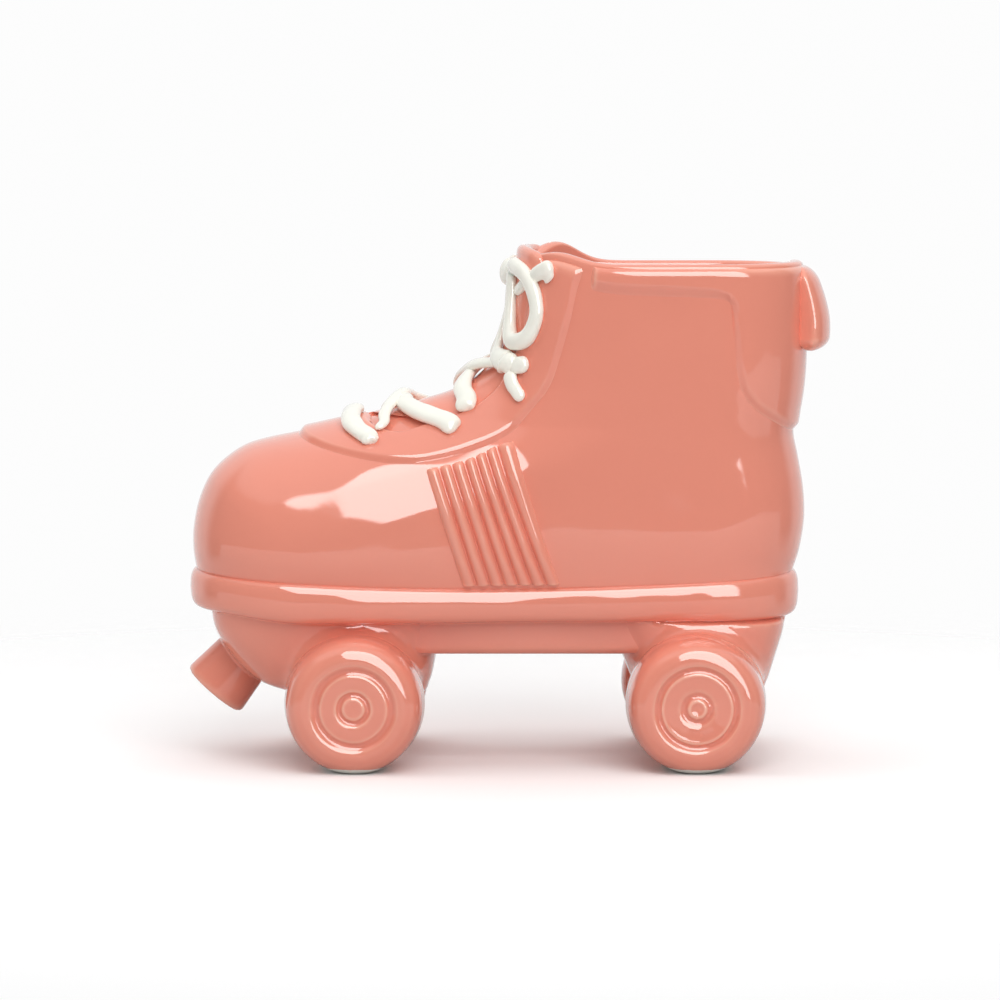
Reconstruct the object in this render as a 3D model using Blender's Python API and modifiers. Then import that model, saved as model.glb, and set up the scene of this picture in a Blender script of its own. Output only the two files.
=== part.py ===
"""Glazed ceramic vessel in the shape of a quad roller skate.

The boot is a hollow slip-cast vase. The sole band, the chassis tubs, the wheels, the toe stop
and all the relief (facing, tongue, ribs, collar, tab, laces) are separate clay pieces that
are luted onto it before firing, so nothing turns. Toe towards -X, left side towards -Y, Z up,
origin on the table under the middle of the object.
"""

import math

import bmesh
import bpy
import numpy as np
from mathutils import Matrix, Vector

MM = 0.001

# ---- driving dimensions -------------------------------------------------------------------
GAP = 0.35 * MM  # joint line left between two pieces
WALL = 4.5 * MM  # thickness of the cast clay

BOOT_LENGTH = 191.0 * MM  # toe to heel of the bare boot
BOOT_HEIGHT = 94.5 * MM  # toe crease to rim
BALL_HALF_WIDTH = 37.5 * MM
HEEL_HALF_WIDTH = 31.5 * MM
BOOT_FRONT_X = -97.4 * MM  # toe end of the crease

WHEEL_RADIUS = 21.2 * MM
WHEEL_FLAT = 0.6 * MM  # height ground off each wheel for a foot
WHEEL_WIDTH = 27.0 * MM
WHEEL_OVERHANG = 9.5 * MM  # how far the wheels stand out past the ball of the foot
FRONT_AXLE_SETBACK = 50.1 * MM  # from the toe end of the crease
REAR_AXLE_SETBACK = 35.0 * MM  # from the heel end of the boot
WHEEL_HEADROOM = 3.4 * MM  # top of a wheel to the underside of the sole

BAND_HEIGHT = 10.8 * MM  # sole band at its thinnest, under the arch
BAND_RISE = 4.0 * MM  # how much higher the crease is at toe and heel
BAND_SEAT = 4.0 * MM  # width of the step that the band sits in
BAND_BULGE = 1.9 * MM

RELIEF = 1.5 * MM  # thickness of the facing, the tongue and the collar
RIB_COUNT = 7
RIB_BASE = 0.5 * MM
RIB_HEIGHT = 1.0 * MM
TAB_HALF_WIDTH_TURN = 0.22  # radians of turn either side of the heel
TAB_THICKNESS = 6.8 * MM

LACE_WIDTH = 4.9 * MM
LACE_THICKNESS = 2.8 * MM
KNOT_RADIUS = 3.8 * MM
KNOT_FLATNESS = 0.72

STOP_RADIUS = 10.3 * MM
STOP_LENGTH = 14.0 * MM
VENT_RADIUS = 2.5 * MM

ROUND_STEPS = 48  # points round the boot
LEVEL_STEPS = 23  # rings up its outside

# ---- places that follow from them ---------------------------------------------------------
AXLE_Z = WHEEL_RADIUS - WHEEL_FLAT
SOLE_Z = AXLE_Z + WHEEL_RADIUS + WHEEL_HEADROOM
CREASE_Z = SOLE_Z + BAND_HEIGHT
BED = 0.016 * BALL_HALF_WIDTH  # joint under relief: both sides of it are flat facets
LACE_LIFT = BED + RELIEF + GAP  # underside of a lace, above the bare boot
WHEEL_OUTER_Y = BALL_HALF_WIDTH + WHEEL_OVERHANG
WHEEL_INNER_Y = WHEEL_OUTER_Y - WHEEL_WIDTH
FRONT_AXLE_X = BOOT_FRONT_X + FRONT_AXLE_SETBACK
REAR_AXLE_X = BOOT_FRONT_X + BOOT_LENGTH - REAR_AXLE_SETBACK

# The boot's outline from the side: shares of its length behind the toe, and of its height
# above the toe crease. The last points reach above the rim, for the tongue.
FRONT_OUTLINE = [
    (0.000, 0.000), (-0.005, 0.065), (-0.004, 0.140), (0.007, 0.235), (0.030, 0.325),
    (0.074, 0.395), (0.120, 0.425), (0.170, 0.445), (0.240, 0.478), (0.310, 0.510),
    (0.370, 0.542), (0.425, 0.580), (0.467, 0.632), (0.495, 0.700), (0.513, 0.790),
    (0.524, 0.880), (0.533, 1.000), (0.538, 1.090),
]
REAR_OUTLINE = [
    (0.977, -0.003), (0.987, 0.060), (0.994, 0.160), (0.992, 0.270), (0.983, 0.375),
    (0.976, 0.445), (0.979, 0.510), (0.985, 0.590), (0.989, 0.690), (0.990, 0.850),
    (0.990, 1.000), (0.990, 1.072),
]
REAR_CROWDING = 1.3  # above 1, the rings start closer together at the heel
RIM_LEVEL = 0.948  # level whose height is the rim


# ---- the boot's surface -------------------------------------------------------------------
def smooth_through(points, steps_each=12):
    """A Catmull-Rom curve through the points, as an array with evenly spaced samples."""
    p = np.array(points, float)
    p = np.vstack([2 * p[0] - p[1], p, 2 * p[-1] - p[-2]])
    t = np.linspace(0, 1, steps_each, endpoint=False)[:, None]
    spans = []
    for a, b, c, d in zip(p, p[1:], p[2:], p[3:]):
        spans.append(0.5 * (2 * b + (c - a) * t + (2 * a - 5 * b + 4 * c - d) * t**2
                            + (3 * b - 3 * c + d - a) * t**3))
    line = np.vstack([*spans, p[-2:-1]])
    along = np.concatenate([[0], np.cumsum(np.linalg.norm(np.diff(line, axis=0), axis=1))])
    even = np.linspace(0, along[-1], len(line))
    return np.column_stack([np.interp(even, along, column) for column in line.T])


def smoothstep(t):
    t = np.clip(t, 0, 1)
    return t * t * (3 - 2 * t)


def placed(outline):
    """Outline shares as x and z in metres, on the arch's crease height plus the toe's rise."""
    shares = np.array(outline)
    x = BOOT_FRONT_X + shares[:, 0] * BOOT_LENGTH
    z = CREASE_Z + BAND_RISE + shares[:, 1] * BOOT_HEIGHT
    return smooth_through(np.column_stack([x, z]))


FRONT = placed(FRONT_OUTLINE)
REAR = placed(REAR_OUTLINE)
BOOT_MIDDLE_X = BOOT_FRONT_X + BOOT_LENGTH / 2


def at(line, share):
    steps = np.linspace(0, 1, len(line))
    return np.interp(share, steps, line[:, 0]), np.interp(share, steps, line[:, 1])


def rounding(distance, radius, fullness=2.25):
    """0 on the outline and 1 a radius inside it, on a superellipse."""
    t = np.clip(distance / radius, 0, 1)
    return (1 - (1 - t) ** fullness) ** (1 / fullness)


def distance_to(line, x, z):
    points = np.stack([x, z], -1)[..., None, :]
    start, span = line[:-1], np.diff(line, axis=0)
    share = np.clip(((points - start) * span).sum(-1) / (span**2).sum(-1), 0, 1)
    return np.linalg.norm(points - start - share[..., None] * span, axis=-1).min(-1)


def arch(x):
    """1 under the arch and 0 at toe and heel: how far the crease dips."""
    return 1 - np.clip(abs(x - BOOT_MIDDLE_X) / (BOOT_LENGTH / 2), 0, 1) ** 1.6


HEEL_TUCK, TOE_TUCK = 17 * MM, 8 * MM  # height over which the boot draws in to the crease
TUCK_SHARE = 0.05  # share of the width that it draws in by
RIDGE_LEVELS = [0, 0.3, 0.52, 0.68, 0.85, 1]
RIDGE_RADII = [34 * MM, 34 * MM, 50 * MM, 48 * MM, 38 * MM, 36 * MM]  # rounding of the front
HEEL_RADIUS = 30 * MM  # and of the back
CORNER_RISE = 3.6 * MM  # rise of the rim at the top ends of the facing
CORNER_SETBACK = 9 * MM
CORNER_SPREAD = 10 * MM


def half_width(x, z, level):
    toe_share = smoothstep((BOOT_MIDDLE_X + 12 * MM - x) / (0.33 * BOOT_LENGTH))
    width = HEEL_HALF_WIDTH + (BALL_HALF_WIDTH - HEEL_HALF_WIDTH) * toe_share
    tuck_height = HEEL_TUCK + (TOE_TUCK - HEEL_TUCK) * toe_share
    above = np.clip((z - CREASE_Z - BAND_RISE * (1 - arch(x))) / tuck_height, 0, 1)
    width = width * (1 - TUCK_SHARE * (1 - above) ** 2)
    return (width * rounding(distance_to(FRONT, x, z), np.interp(level, RIDGE_LEVELS, RIDGE_RADII))
            * rounding(distance_to(REAR, x, z), HEEL_RADIUS))


def bare_point(turn, level):
    """Point of the bare boot. Turn is 0 on the front ridge, pi at the heel, and negative on
    the left; level is 0 at the crease and RIM_LEVEL at the rim."""
    front_x, front_z = at(FRONT, level)
    rear_x, rear_z = at(REAR, level**REAR_CROWDING)
    share = (1 - np.cos(turn)) / 2
    x = front_x + (rear_x - front_x) * share
    z = front_z + (rear_z - front_z) * share
    z = z - BAND_RISE * arch(x) * np.clip(1 - level / 0.3, 0, 1) ** 2
    y = np.sign(np.sin(turn)) * half_width(x, z, level)
    corner = np.exp(-(((x - front_x - CORNER_SETBACK) / CORNER_SPREAD) ** 2))
    return np.stack([x, y, z + CORNER_RISE * corner * smoothstep((level - 0.75) / 0.2)], -1)


def boot_normal(turn, level):
    step = 2e-3
    low = np.maximum(level - step, 0)
    across = bare_point(turn + step, level) - bare_point(turn - step, level)
    up = bare_point(turn, low + 2 * step) - bare_point(turn, low)
    normal = np.cross(up, across)
    return normal / np.linalg.norm(normal, axis=-1, keepdims=True)


def boot_point(turn, level, lift=0.0):
    """Point at a height of lift outside the bare boot."""
    turn, level = np.broadcast_arrays(np.asarray(turn, float), np.asarray(level, float))
    lift = np.broadcast_to(lift, turn.shape)[..., None]
    return bare_point(turn, level) + boot_normal(turn, level) * lift


def locate(x, z):
    """The turn (on the right side) and level whose point is at x, z in the side view."""
    levels = np.linspace(0, 1, 400)
    front_x, front_z = at(FRONT, levels)
    rear_x, rear_z = at(REAR, levels**REAR_CROWDING)
    share = np.clip((x - front_x) / (rear_x - front_x), 0, 1)
    dip = BAND_RISE * arch(x) * np.clip(1 - levels / 0.3, 0, 1) ** 2
    height = front_z + (rear_z - front_z) * share - dip
    level = np.interp(z, height, levels)
    return math.acos(1 - 2 * np.interp(level, levels, share)), level


def side_view(share_x, share_z):
    """locate() for a place in shares of the boot's length and height."""
    return locate(BOOT_FRONT_X + share_x * BOOT_LENGTH,
                  CREASE_Z + BAND_RISE + share_z * BOOT_HEIGHT)


def ridge(share_x):
    """Turn and level of the place on the front ridge at a share of the boot's length."""
    x = BOOT_FRONT_X + share_x * BOOT_LENGTH
    top = FRONT[:, 1] > CREASE_Z + BAND_RISE + 0.3 * BOOT_HEIGHT
    steps = np.linspace(0, 1, len(FRONT))[top]
    return 0.0, float(np.interp(x, FRONT[top, 0], steps))


# ---- building meshes ----------------------------------------------------------------------
def start_scene():
    for old in list(bpy.data.objects):
        bpy.data.objects.remove(old)
    for name in ("quad_skate_vase", "cutters"):
        bpy.context.scene.collection.children.link(bpy.data.collections.new(name))
    bpy.data.collections["cutters"].hide_render = True


def material(name, colour, roughness):
    made = bpy.data.materials.new(name)
    made.use_nodes = True
    shader = made.node_tree.nodes["Principled BSDF"]
    shader.inputs["Base Color"].default_value = (*colour, 1)
    shader.inputs["Roughness"].default_value = roughness
    shader.inputs["Metallic"].default_value = 0.0
    return made


def add(name, mesh, glaze, smooth_angle=40):
    made = bpy.data.objects.new(name, mesh)
    bpy.data.collections["quad_skate_vase"].objects.link(made)
    mesh.materials.append(glaze)
    mesh.shade_smooth()
    mesh.set_sharp_from_angle(angle=math.radians(smooth_angle))
    return made


def as_cutter(obj):
    for group in list(obj.users_collection):
        group.objects.unlink(obj)
    bpy.data.collections["cutters"].objects.link(obj)
    obj.hide_render = True
    obj.display_type = "WIRE"
    return obj


def cut(obj, *cutters):
    for cutter in cutters:
        modifier = obj.modifiers.new("cut_" + cutter.name, "BOOLEAN")
        modifier.object = cutter
        modifier.operation = "DIFFERENCE"
    return obj


def rings_mesh(name, rings, capped=True, closed_round=True):
    """A loft through rings of points, first ring at the bottom, with end caps."""
    work = bmesh.new()
    rows = [[work.verts.new(p) for p in ring] for ring in rings]
    count = len(rows[0])
    for low, high in zip(rows, rows[1:]):
        for i in range(count if closed_round else count - 1):
            j = (i + 1) % count
            work.faces.new((low[i], low[j], high[j], high[i]))
    if capped:
        work.faces.new(rows[0][::-1])
        work.faces.new(rows[-1])
    mesh = bpy.data.meshes.new(name)
    bmesh.ops.recalc_face_normals(work, faces=work.faces)
    work.to_mesh(mesh)
    work.free()
    return mesh


def relief_pad(name, turn, level, glaze):
    """A pad of clay laid on the boot: an open patch of its surface, given a thickness."""
    work = bmesh.new()
    points = boot_point(turn, level, BED)
    rows = [[work.verts.new(p) for p in row] for row in points]
    for low, high in zip(rows, rows[1:]):
        for a, b, c, d in zip(low, low[1:], high[1:], high):
            work.faces.new((a, b, c, d))
    work.normal_update()
    row, column = turn.shape[0] // 2, turn.shape[1] // 2
    outward = Vector(boot_normal(turn[row, column], level[row, column]))
    if rows[row][column].normal.dot(outward) < 0:
        bmesh.ops.reverse_faces(work, faces=work.faces)
    mesh = bpy.data.meshes.new(name)
    work.to_mesh(mesh)
    work.free()
    made = add(name, mesh, glaze)
    solid = made.modifiers.new("thickness", "SOLIDIFY")
    solid.thickness = RELIEF
    solid.offset = 1.0
    return made


def turned(name, profile, glaze, steps=28):
    """A solid of revolution about its own Z, from (radius, height) pairs, top to bottom."""
    mesh = bpy.data.meshes.new(name)
    points = [(r, 0, h) for r, h in profile]
    mesh.from_pydata(points, [(i, i + 1) for i in range(len(points) - 1)], [])
    made = add(name, mesh, glaze)
    screw = made.modifiers.new("turn", "SCREW")
    screw.steps = screw.render_steps = steps
    screw.use_merge_vertices = True
    screw.merge_threshold = 0.02 * MM
    return made


def arc(centre, radius, start, end, steps):
    """Points on an arc, as (radius, height) pairs, with angles in degrees from +radius."""
    angles = np.radians(np.linspace(start, end, steps + 1))
    return [(centre[0] + radius * math.cos(a), centre[1] + radius * math.sin(a)) for a in angles]


# ---- vessel and sole ----------------------------------------------------------------------
TURNS = np.arange(ROUND_STEPS) * 2 * math.pi / ROUND_STEPS


def crease_outline(outset, z=None):
    """The boot's outline at the crease, moved out in plan, at its own or a given height."""
    ring = boot_point(TURNS, 0.0)
    along = np.roll(ring, -1, 0) - np.roll(ring, 1, 0)
    outward = np.column_stack([-along[:, 1], along[:, 0]])
    outward /= np.linalg.norm(outward, axis=1, keepdims=True)
    ring[:, :2] += outward * outset
    if z is not None:
        ring[:, 2] = z
    return ring


def boot_shell(glaze):
    """The vase: outer skin, rim, lining and floor, with a step for the band round its foot."""
    outside = [boot_point(TURNS, level) for level in np.linspace(0, RIM_LEVEL, LEVEL_STEPS)]
    rim = []
    for lift, rise in ((-0.18, 0.8), (-0.5, 1.25), (-0.82, 0.8)):
        rim.append(boot_point(TURNS, RIM_LEVEL, lift * WALL) + [0, 0, rise * MM])
    lining = [boot_point(TURNS, level, -WALL) for level in np.linspace(RIM_LEVEL, 0.1, 9)]
    foot = [crease_outline(-BAND_SEAT, SOLE_Z), crease_outline(-BAND_SEAT)]
    floor = [crease_outline(-BAND_SEAT - WALL), crease_outline(-BAND_SEAT - WALL, SOLE_Z + WALL)]
    mesh = rings_mesh("boot_shell", [*foot, *outside, *rim, *lining, *floor])
    return add("boot_shell", mesh, glaze)


def sole_band(glaze):
    """A thick moulding round the foot of the boot, in the step under the crease."""
    inner = -BAND_SEAT + GAP
    crease = crease_outline(0.0)[:, 2] - GAP
    lower = SOLE_Z
    height = crease - lower
    section = [
        (inner, 0.0), (-3.0 * MM, 0.0), (-0.2 * MM, 0.10), (1.1 * MM, 0.24),
        (BAND_BULGE, 0.5), (BAND_BULGE, 0.72), (1.2 * MM, 0.92), (0.1 * MM, 1.0), (inner, 1.0),
    ]
    rings = [crease_outline(outset, lower + share * height) for outset, share in section]
    work = bmesh.new()
    rows = [[work.verts.new(p) for p in ring] for ring in rings]
    for low, high in zip(rows, rows[1:] + rows[:1]):
        for i in range(ROUND_STEPS):
            j = (i + 1) % ROUND_STEPS
            work.faces.new((low[i], low[j], high[j], high[i]))
    bmesh.ops.recalc_face_normals(work, faces=work.faces)
    mesh = bpy.data.meshes.new("sole_band")
    work.to_mesh(mesh)
    work.free()
    return add("sole_band", mesh, glaze)


# ---- relief on the boot -------------------------------------------------------------------
# Edges are side view places, as shares of the boot's length and height.
FACING_OUTER = [(0.633, 0.99), (0.622, 0.92), (0.612, 0.83), (0.593, 0.70), (0.569, 0.585),
                (0.529, 0.488), (0.497, 0.44), (0.449, 0.401), (0.384, 0.37), (0.336, 0.363),
                (0.287, 0.373), (0.222, 0.40)]
FACING_TIP = 0.170
FACING_INNER = [(0.562, 0.99), (0.553, 0.92), (0.540, 0.82), (0.524, 0.725), (0.508, 0.66),
                (0.485, 0.590), (0.434, 0.515), (0.379, 0.482), (0.327, 0.462)]
THROAT_FRONT = 0.290


def edge_line(places, ridge_share, count):
    """Turns and levels from the left end of an edge, over the ridge, to the right end."""
    right = [side_view(*place) for place in places]
    left = [(-turn, level) for turn, level in right]
    line = smooth_through([*left, ridge(ridge_share), *right[::-1]])
    steps = np.linspace(0, 1, len(line))
    share = np.linspace(0, 1, count)
    return np.interp(share, steps, line[:, 0]), np.interp(share, steps, line[:, 1])


def lace_facing(glaze):
    """The horseshoe that carries the laces, both arms in one piece."""
    count = 49
    outer, inner = edge_line(FACING_OUTER, FACING_TIP, count), edge_line(
        FACING_INNER, THROAT_FRONT, count)
    across = np.linspace(0, 1, 6)[:, None]
    turn = inner[0] + (outer[0] - inner[0]) * across
    level = inner[1] + (outer[1] - inner[1]) * across
    return relief_pad("lace_facing", turn, level, glaze)


def tongue(glaze):
    """Fills the throat between the facing's arms, and stands up above the rim."""
    turns, levels = edge_line(FACING_INNER, THROAT_FRONT, 161)
    turns, levels = turns[80:], levels[80:]
    start, top = levels[0] + 0.02, 0.974
    rows = np.linspace(start, top, 17)
    half = np.interp(rows, levels, turns)
    width = np.linalg.norm(boot_point(half, rows) - boot_point(half * 0, rows), axis=1)
    half = half * (1 - 1.6 * GAP / width)
    across = np.linspace(-1, 1, 9)
    turn = half[:, None] * across
    droop = 0.028 * across**2 * smoothstep((rows - 0.9) / 0.08)[:, None]
    level = rows[:, None] - droop
    return relief_pad("tongue", turn, level, glaze)


COLLAR_LOWER = [(0.650, 0.905), (0.72, 0.90), (0.79, 0.895), (0.838, 0.885), (0.852, 0.83),
                (0.860, 0.72), (0.866, 0.62), (0.880, 0.535), (0.915, 0.482), (0.957, 0.457)]


def collar_and_heel_patch(glaze):
    """A padded band under the rim that widens into the patch on the back of the heel."""
    right = [side_view(*place) for place in COLLAR_LOWER]
    heel = (math.pi, locate(REAR[:, 0].max(), CREASE_Z + BAND_RISE + 0.45 * BOOT_HEIGHT)[1])
    left = [(2 * math.pi - turn, level) for turn, level in right[::-1]]
    lower = smooth_through([*right, heel, *left])
    steps = np.linspace(0, 1, len(lower))
    share = np.linspace(0, 1, 45)
    low_turn, low_level = (np.interp(share, steps, lower[:, i]) for i in (0, 1))
    first, last = low_turn[0], low_turn[-1]
    top_turn = first + (last - first) * share
    up = np.linspace(0, 1, 5)[:, None]
    turn = low_turn + (top_turn - low_turn) * up
    level = low_level + (RIM_LEVEL - 0.008 - low_level) * up
    return relief_pad("collar_and_heel_patch", turn, level, glaze)


RIB_TOP = [(0.377, 0.352), (0.540, 0.455)]  # front and rear end of the ribs' upper ends
RIB_TOP_SAG = 0.022
RIB_FOOT = [(0.436, -0.030), (0.593, -0.030)]


def ribbed_panel(name, side, glaze):
    """Raised ribs that lean back from the facing down to the sole."""
    columns, rows = 4 * RIB_COUNT + 1, 9
    across = np.linspace(0, 1, columns)
    down = np.linspace(0, 1, rows)[:, None]
    bow = RIB_TOP_SAG * 4 * across * (1 - across)
    top_x = RIB_TOP[0][0] + (RIB_TOP[1][0] - RIB_TOP[0][0]) * across
    top_z = RIB_TOP[0][1] + (RIB_TOP[1][1] - RIB_TOP[0][1]) * across - bow
    foot_x = RIB_FOOT[0][0] + (RIB_FOOT[1][0] - RIB_FOOT[0][0]) * across
    foot_z = RIB_FOOT[0][1] + 0 * across
    share_x = top_x + (foot_x - top_x) * down
    share_z = top_z + (foot_z - top_z) * down
    places = [[side_view(x, z) for x, z in zip(*row)] for row in zip(share_x, share_z)]
    turn, level = np.moveaxis(np.array(places), -1, 0)
    level = np.maximum(level, 0.004)
    wave = np.sin(math.pi * RIB_COUNT * across) ** 2
    under = boot_point(side * turn, level, BED)
    over = boot_point(side * turn, level, BED + RIB_BASE + RIB_HEIGHT * wave)
    border = [(r, c) for r, c in
              [*((0, c) for c in range(columns)), *((r, columns - 1) for r in range(1, rows)),
               *((rows - 1, c) for c in range(columns - 2, -1, -1)),
               *((r, 0) for r in range(rows - 2, 0, -1))]]
    work = bmesh.new()
    low = [[work.verts.new(p) for p in row] for row in under]
    high = [[work.verts.new(p) for p in row] for row in over]
    for grid in (low, high):
        for a, b in zip(grid, grid[1:]):
            for i in range(columns - 1):
                work.faces.new((a[i], a[i + 1], b[i + 1], b[i]))
    for (r, c), (s, d) in zip(border, border[1:] + border[:1]):
        work.faces.new((low[r][c], low[s][d], high[s][d], high[r][c]))
    bmesh.ops.recalc_face_normals(work, faces=work.faces)
    mesh = bpy.data.meshes.new(name)
    work.to_mesh(mesh)
    work.free()
    return add(name, mesh, glaze)


def pull_tab(glaze):
    """The folded strap on the back of the collar, thicker towards its lower end."""
    sides = np.linspace(-1, 1, 9)
    turn = math.pi + TAB_HALF_WIDTH_TURN * sides
    under = LACE_LIFT
    top_level = RIM_LEVEL - 0.012
    low_level = locate(REAR[:, 0].max(), CREASE_Z + BAND_RISE + 0.715 * BOOT_HEIGHT)[1]
    levels = np.linspace(low_level, top_level, 9)
    thick = TAB_THICKNESS * np.array([0.74, 0.96, 1.0, 1.0, 0.95, 0.87, 0.75, 0.58, 0.34])
    crown = (1 - 0.35 * np.abs(sides) ** 3)[:, None]
    rings = []
    for level, outer in zip(levels, thick):
        inner_row = boot_point(turn, level, under)
        outer_row = boot_point(turn, level, under + outer * crown[:, 0])
        rings.append(np.vstack([inner_row, outer_row[::-1]]))
    return add("pull_tab", rings_mesh("pull_tab", rings), glaze)


# ---- chassis ------------------------------------------------------------------------------
def tub_ring(front, rear, half, z, fullness=3.4, count=32):
    """A rounded rectangle of points from front to rear."""
    angles = np.arange(count) * 2 * math.pi / count
    cos, sin = np.cos(angles), np.sin(angles)
    x = (front + rear) / 2 - (rear - front) / 2 * np.sign(cos) * abs(cos) ** (2 / fullness)
    y = half * np.sign(sin) * abs(sin) ** (2 / fullness)
    return np.column_stack([x, y, np.full(count, z)])


def tub_solid(name, stations, glaze, grow=0.0):
    """The outside of a tub as one full solid: (front x, rear x, half width, drop) downwards."""
    top = SOLE_Z - GAP
    rings = [tub_ring(front - grow, rear + grow, half + grow, top - drop)
             for front, rear, half, drop in stations[::-1]]
    return add(name, rings_mesh(name, rings), glaze)


def open_tub(name, stations, glaze, inner_half):
    """A cast tub, open upwards to the underside of the boot."""
    made = tub_solid(name, stations, glaze)
    top = SOLE_Z - GAP
    depth = stations[-1][3] - WALL
    cavity = []
    for share in (1.0, 0.75, 0.5, 0.25, -0.15):
        drop = depth * share
        drops = [s[3] for s in stations]
        front = np.interp(drop, drops, [s[0] for s in stations]) + WALL
        rear = np.interp(drop, drops, [s[1] for s in stations]) - WALL
        half = min(inner_half, np.interp(drop, drops, [s[2] for s in stations]) - WALL)
        cavity.append(tub_ring(front, rear, half, top - drop))
    hollow = as_cutter(add(name + "_cavity", rings_mesh(name + "_cavity", cavity), glaze))
    centre = ((stations[-1][0] + stations[-1][1]) / 2, 0, top - stations[-1][3])
    bpy.ops.mesh.primitive_cylinder_add(vertices=16, radius=VENT_RADIUS, depth=3 * WALL,
                                        location=centre)
    vent = as_cutter(bpy.context.object)
    vent.name = name + "_vent"
    return cut(made, hollow, vent)


FRONT_TUB_HALF_WIDTH = BALL_HALF_WIDTH - 6.5 * MM
REAR_TUB_HALF_WIDTH = HEEL_HALF_WIDTH - 2.5 * MM
KEEL_HALF_WIDTH = HEEL_HALF_WIDTH - 6.5 * MM
KEEL_DEPTH = 10.4 * MM


def tub_stations(axle_x, half_width_at_top, sizes):
    """Stations from sizes in mm: reach before and behind the axle, draw of the flank, drop."""
    return [(axle_x - front * MM, axle_x + rear * MM, half_width_at_top - draw * MM, drop * MM)
            for front, rear, draw, drop in sizes]


FRONT_TUB = tub_stations(FRONT_AXLE_X, FRONT_TUB_HALF_WIDTH, [
    (44.9, 26.2, 0.0, 0.0), (43.2, 25.6, 1.0, 5.0), (37.6, 24.8, 3.5, 12.0),
    (30.0, 23.6, 6.5, 20.0), (20.5, 21.6, 9.5, 26.0), (10.0, 16.0, 14.0, 30.0),
])
REAR_TUB = tub_stations(REAR_AXLE_X, REAR_TUB_HALF_WIDTH, [
    (27.8, 29.3, 0.0, 0.0), (26.2, 27.4, 0.6, 5.0), (23.6, 25.2, 2.5, 12.0),
    (20.6, 22.2, 5.0, 20.0), (17.6, 18.2, 8.0, 26.0), (12.0, 12.0, 12.0, 30.0),
])


def wheel_pocket(name, axle_x, side):
    """The room that a wheel takes out of a tub's flank."""
    bpy.ops.mesh.primitive_cylinder_add(
        vertices=64, radius=WHEEL_RADIUS + GAP, depth=WHEEL_WIDTH + 2 * GAP,
        location=(axle_x, side * (WHEEL_INNER_Y + WHEEL_WIDTH / 2), AXLE_Z),
        rotation=(math.pi / 2, 0, 0))
    pocket = as_cutter(bpy.context.object)
    pocket.name = name
    return pocket


def truck_tub(name, stations, axle_x, glaze):
    tub = open_tub(name, stations, glaze, WHEEL_INNER_Y - GAP - WALL)
    for side, word in ((-1, "left"), (1, "right")):
        cut(tub, wheel_pocket(f"{name}_{word}_pocket", axle_x, side))
    return tub


def keel(glaze):
    """The shallow tub that joins the two truck tubs under the arch."""
    reach = 9 * MM  # how far its ends run in before they are trimmed to the tubs
    front, rear = FRONT_TUB[0][1] - reach, REAR_TUB[0][0] + reach
    corner = 1.5 * MM
    stations = [(front, rear, KEEL_HALF_WIDTH, 0.0),
                (front, rear, KEEL_HALF_WIDTH, KEEL_DEPTH - 2 * corner),
                (front, rear, KEEL_HALF_WIDTH - corner, KEEL_DEPTH)]
    made = open_tub("arch_keel", stations, glaze, KEEL_HALF_WIDTH - WALL)
    for name, tub in (("front", FRONT_TUB), ("rear", REAR_TUB)):
        cut(made, as_cutter(tub_solid(f"keel_{name}_clearance", tub, glaze, grow=GAP)))
    return made


# Turned rings: share of the wheel's radius, and depth under the face.
FACE_RINGS = [(0, 0.3 * MM), (0.160, 0.3 * MM), (0.193, 1.1 * MM), (0.245, 1.1 * MM),
              (0.283, 0.4 * MM), (0.500, 0.3 * MM), (0.533, 1.3 * MM), (0.594, 1.3 * MM),
              (0.637, 0.0)]


def wheel(name, axle_x, side, glaze):
    """A hollow wheel, open on its inner side, with rings turned in its face and a ground foot."""
    face = WHEEL_WIDTH
    shoulder = 4.2 * MM
    rim_edge = WHEEL_RADIUS - 0.7 * MM
    profile = [
        *((share * WHEEL_RADIUS, face - depth) for share, depth in FACE_RINGS),
        *arc((rim_edge - shoulder, face - shoulder), shoulder, 90, 0, 4),
        (WHEEL_RADIUS, face / 2), (WHEEL_RADIUS - 0.9 * MM, 0),
        (WHEEL_RADIUS - WALL, 0), (WHEEL_RADIUS - WALL, face - 2 * WALL),
        (WHEEL_RADIUS - 1.8 * WALL, face - WALL - 1.3 * MM), (0, face - WALL - 1.3 * MM),
    ]
    made = turned(name, profile, glaze)
    made.location = (axle_x, side * WHEEL_INNER_Y, AXLE_Z)
    made.rotation_euler = (-side * math.pi / 2, 0, 0)
    bpy.ops.mesh.primitive_cube_add(size=1, location=(axle_x, side * WHEEL_OUTER_Y, -10 * MM))
    table = as_cutter(bpy.context.object)
    table.name = name + "_grind"
    table.scale = (3 * WHEEL_RADIUS, 3 * WHEEL_WIDTH, 20 * MM)
    return cut(made, table)


def toe_stop(glaze):
    """A flared stub on the toe of the front tub, trimmed to sit on its curved face."""
    seat = Vector((FRONT_AXLE_X - 37.0 * MM, 0, SOLE_Z - 13.4 * MM))
    direction = Vector((-0.652, 0, -0.758))
    root, edge, reach = STOP_RADIUS - 1.3 * MM, 1.6 * MM, 9 * MM
    profile = [
        (0, STOP_LENGTH), (STOP_RADIUS - edge, STOP_LENGTH),
        *arc((STOP_RADIUS - edge, STOP_LENGTH - edge), edge, 60, 0, 2),
        (root + 0.15 * MM, 1 * MM), (root, -reach), (0, -reach),
    ]
    made = turned("toe_stop", profile, glaze, steps=24)
    made.location = seat
    made.rotation_euler = direction.to_track_quat("Z", "Y").to_euler()
    return cut(made, as_cutter(tub_solid("toe_stop_clearance", FRONT_TUB, glaze, grow=GAP)))


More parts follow.
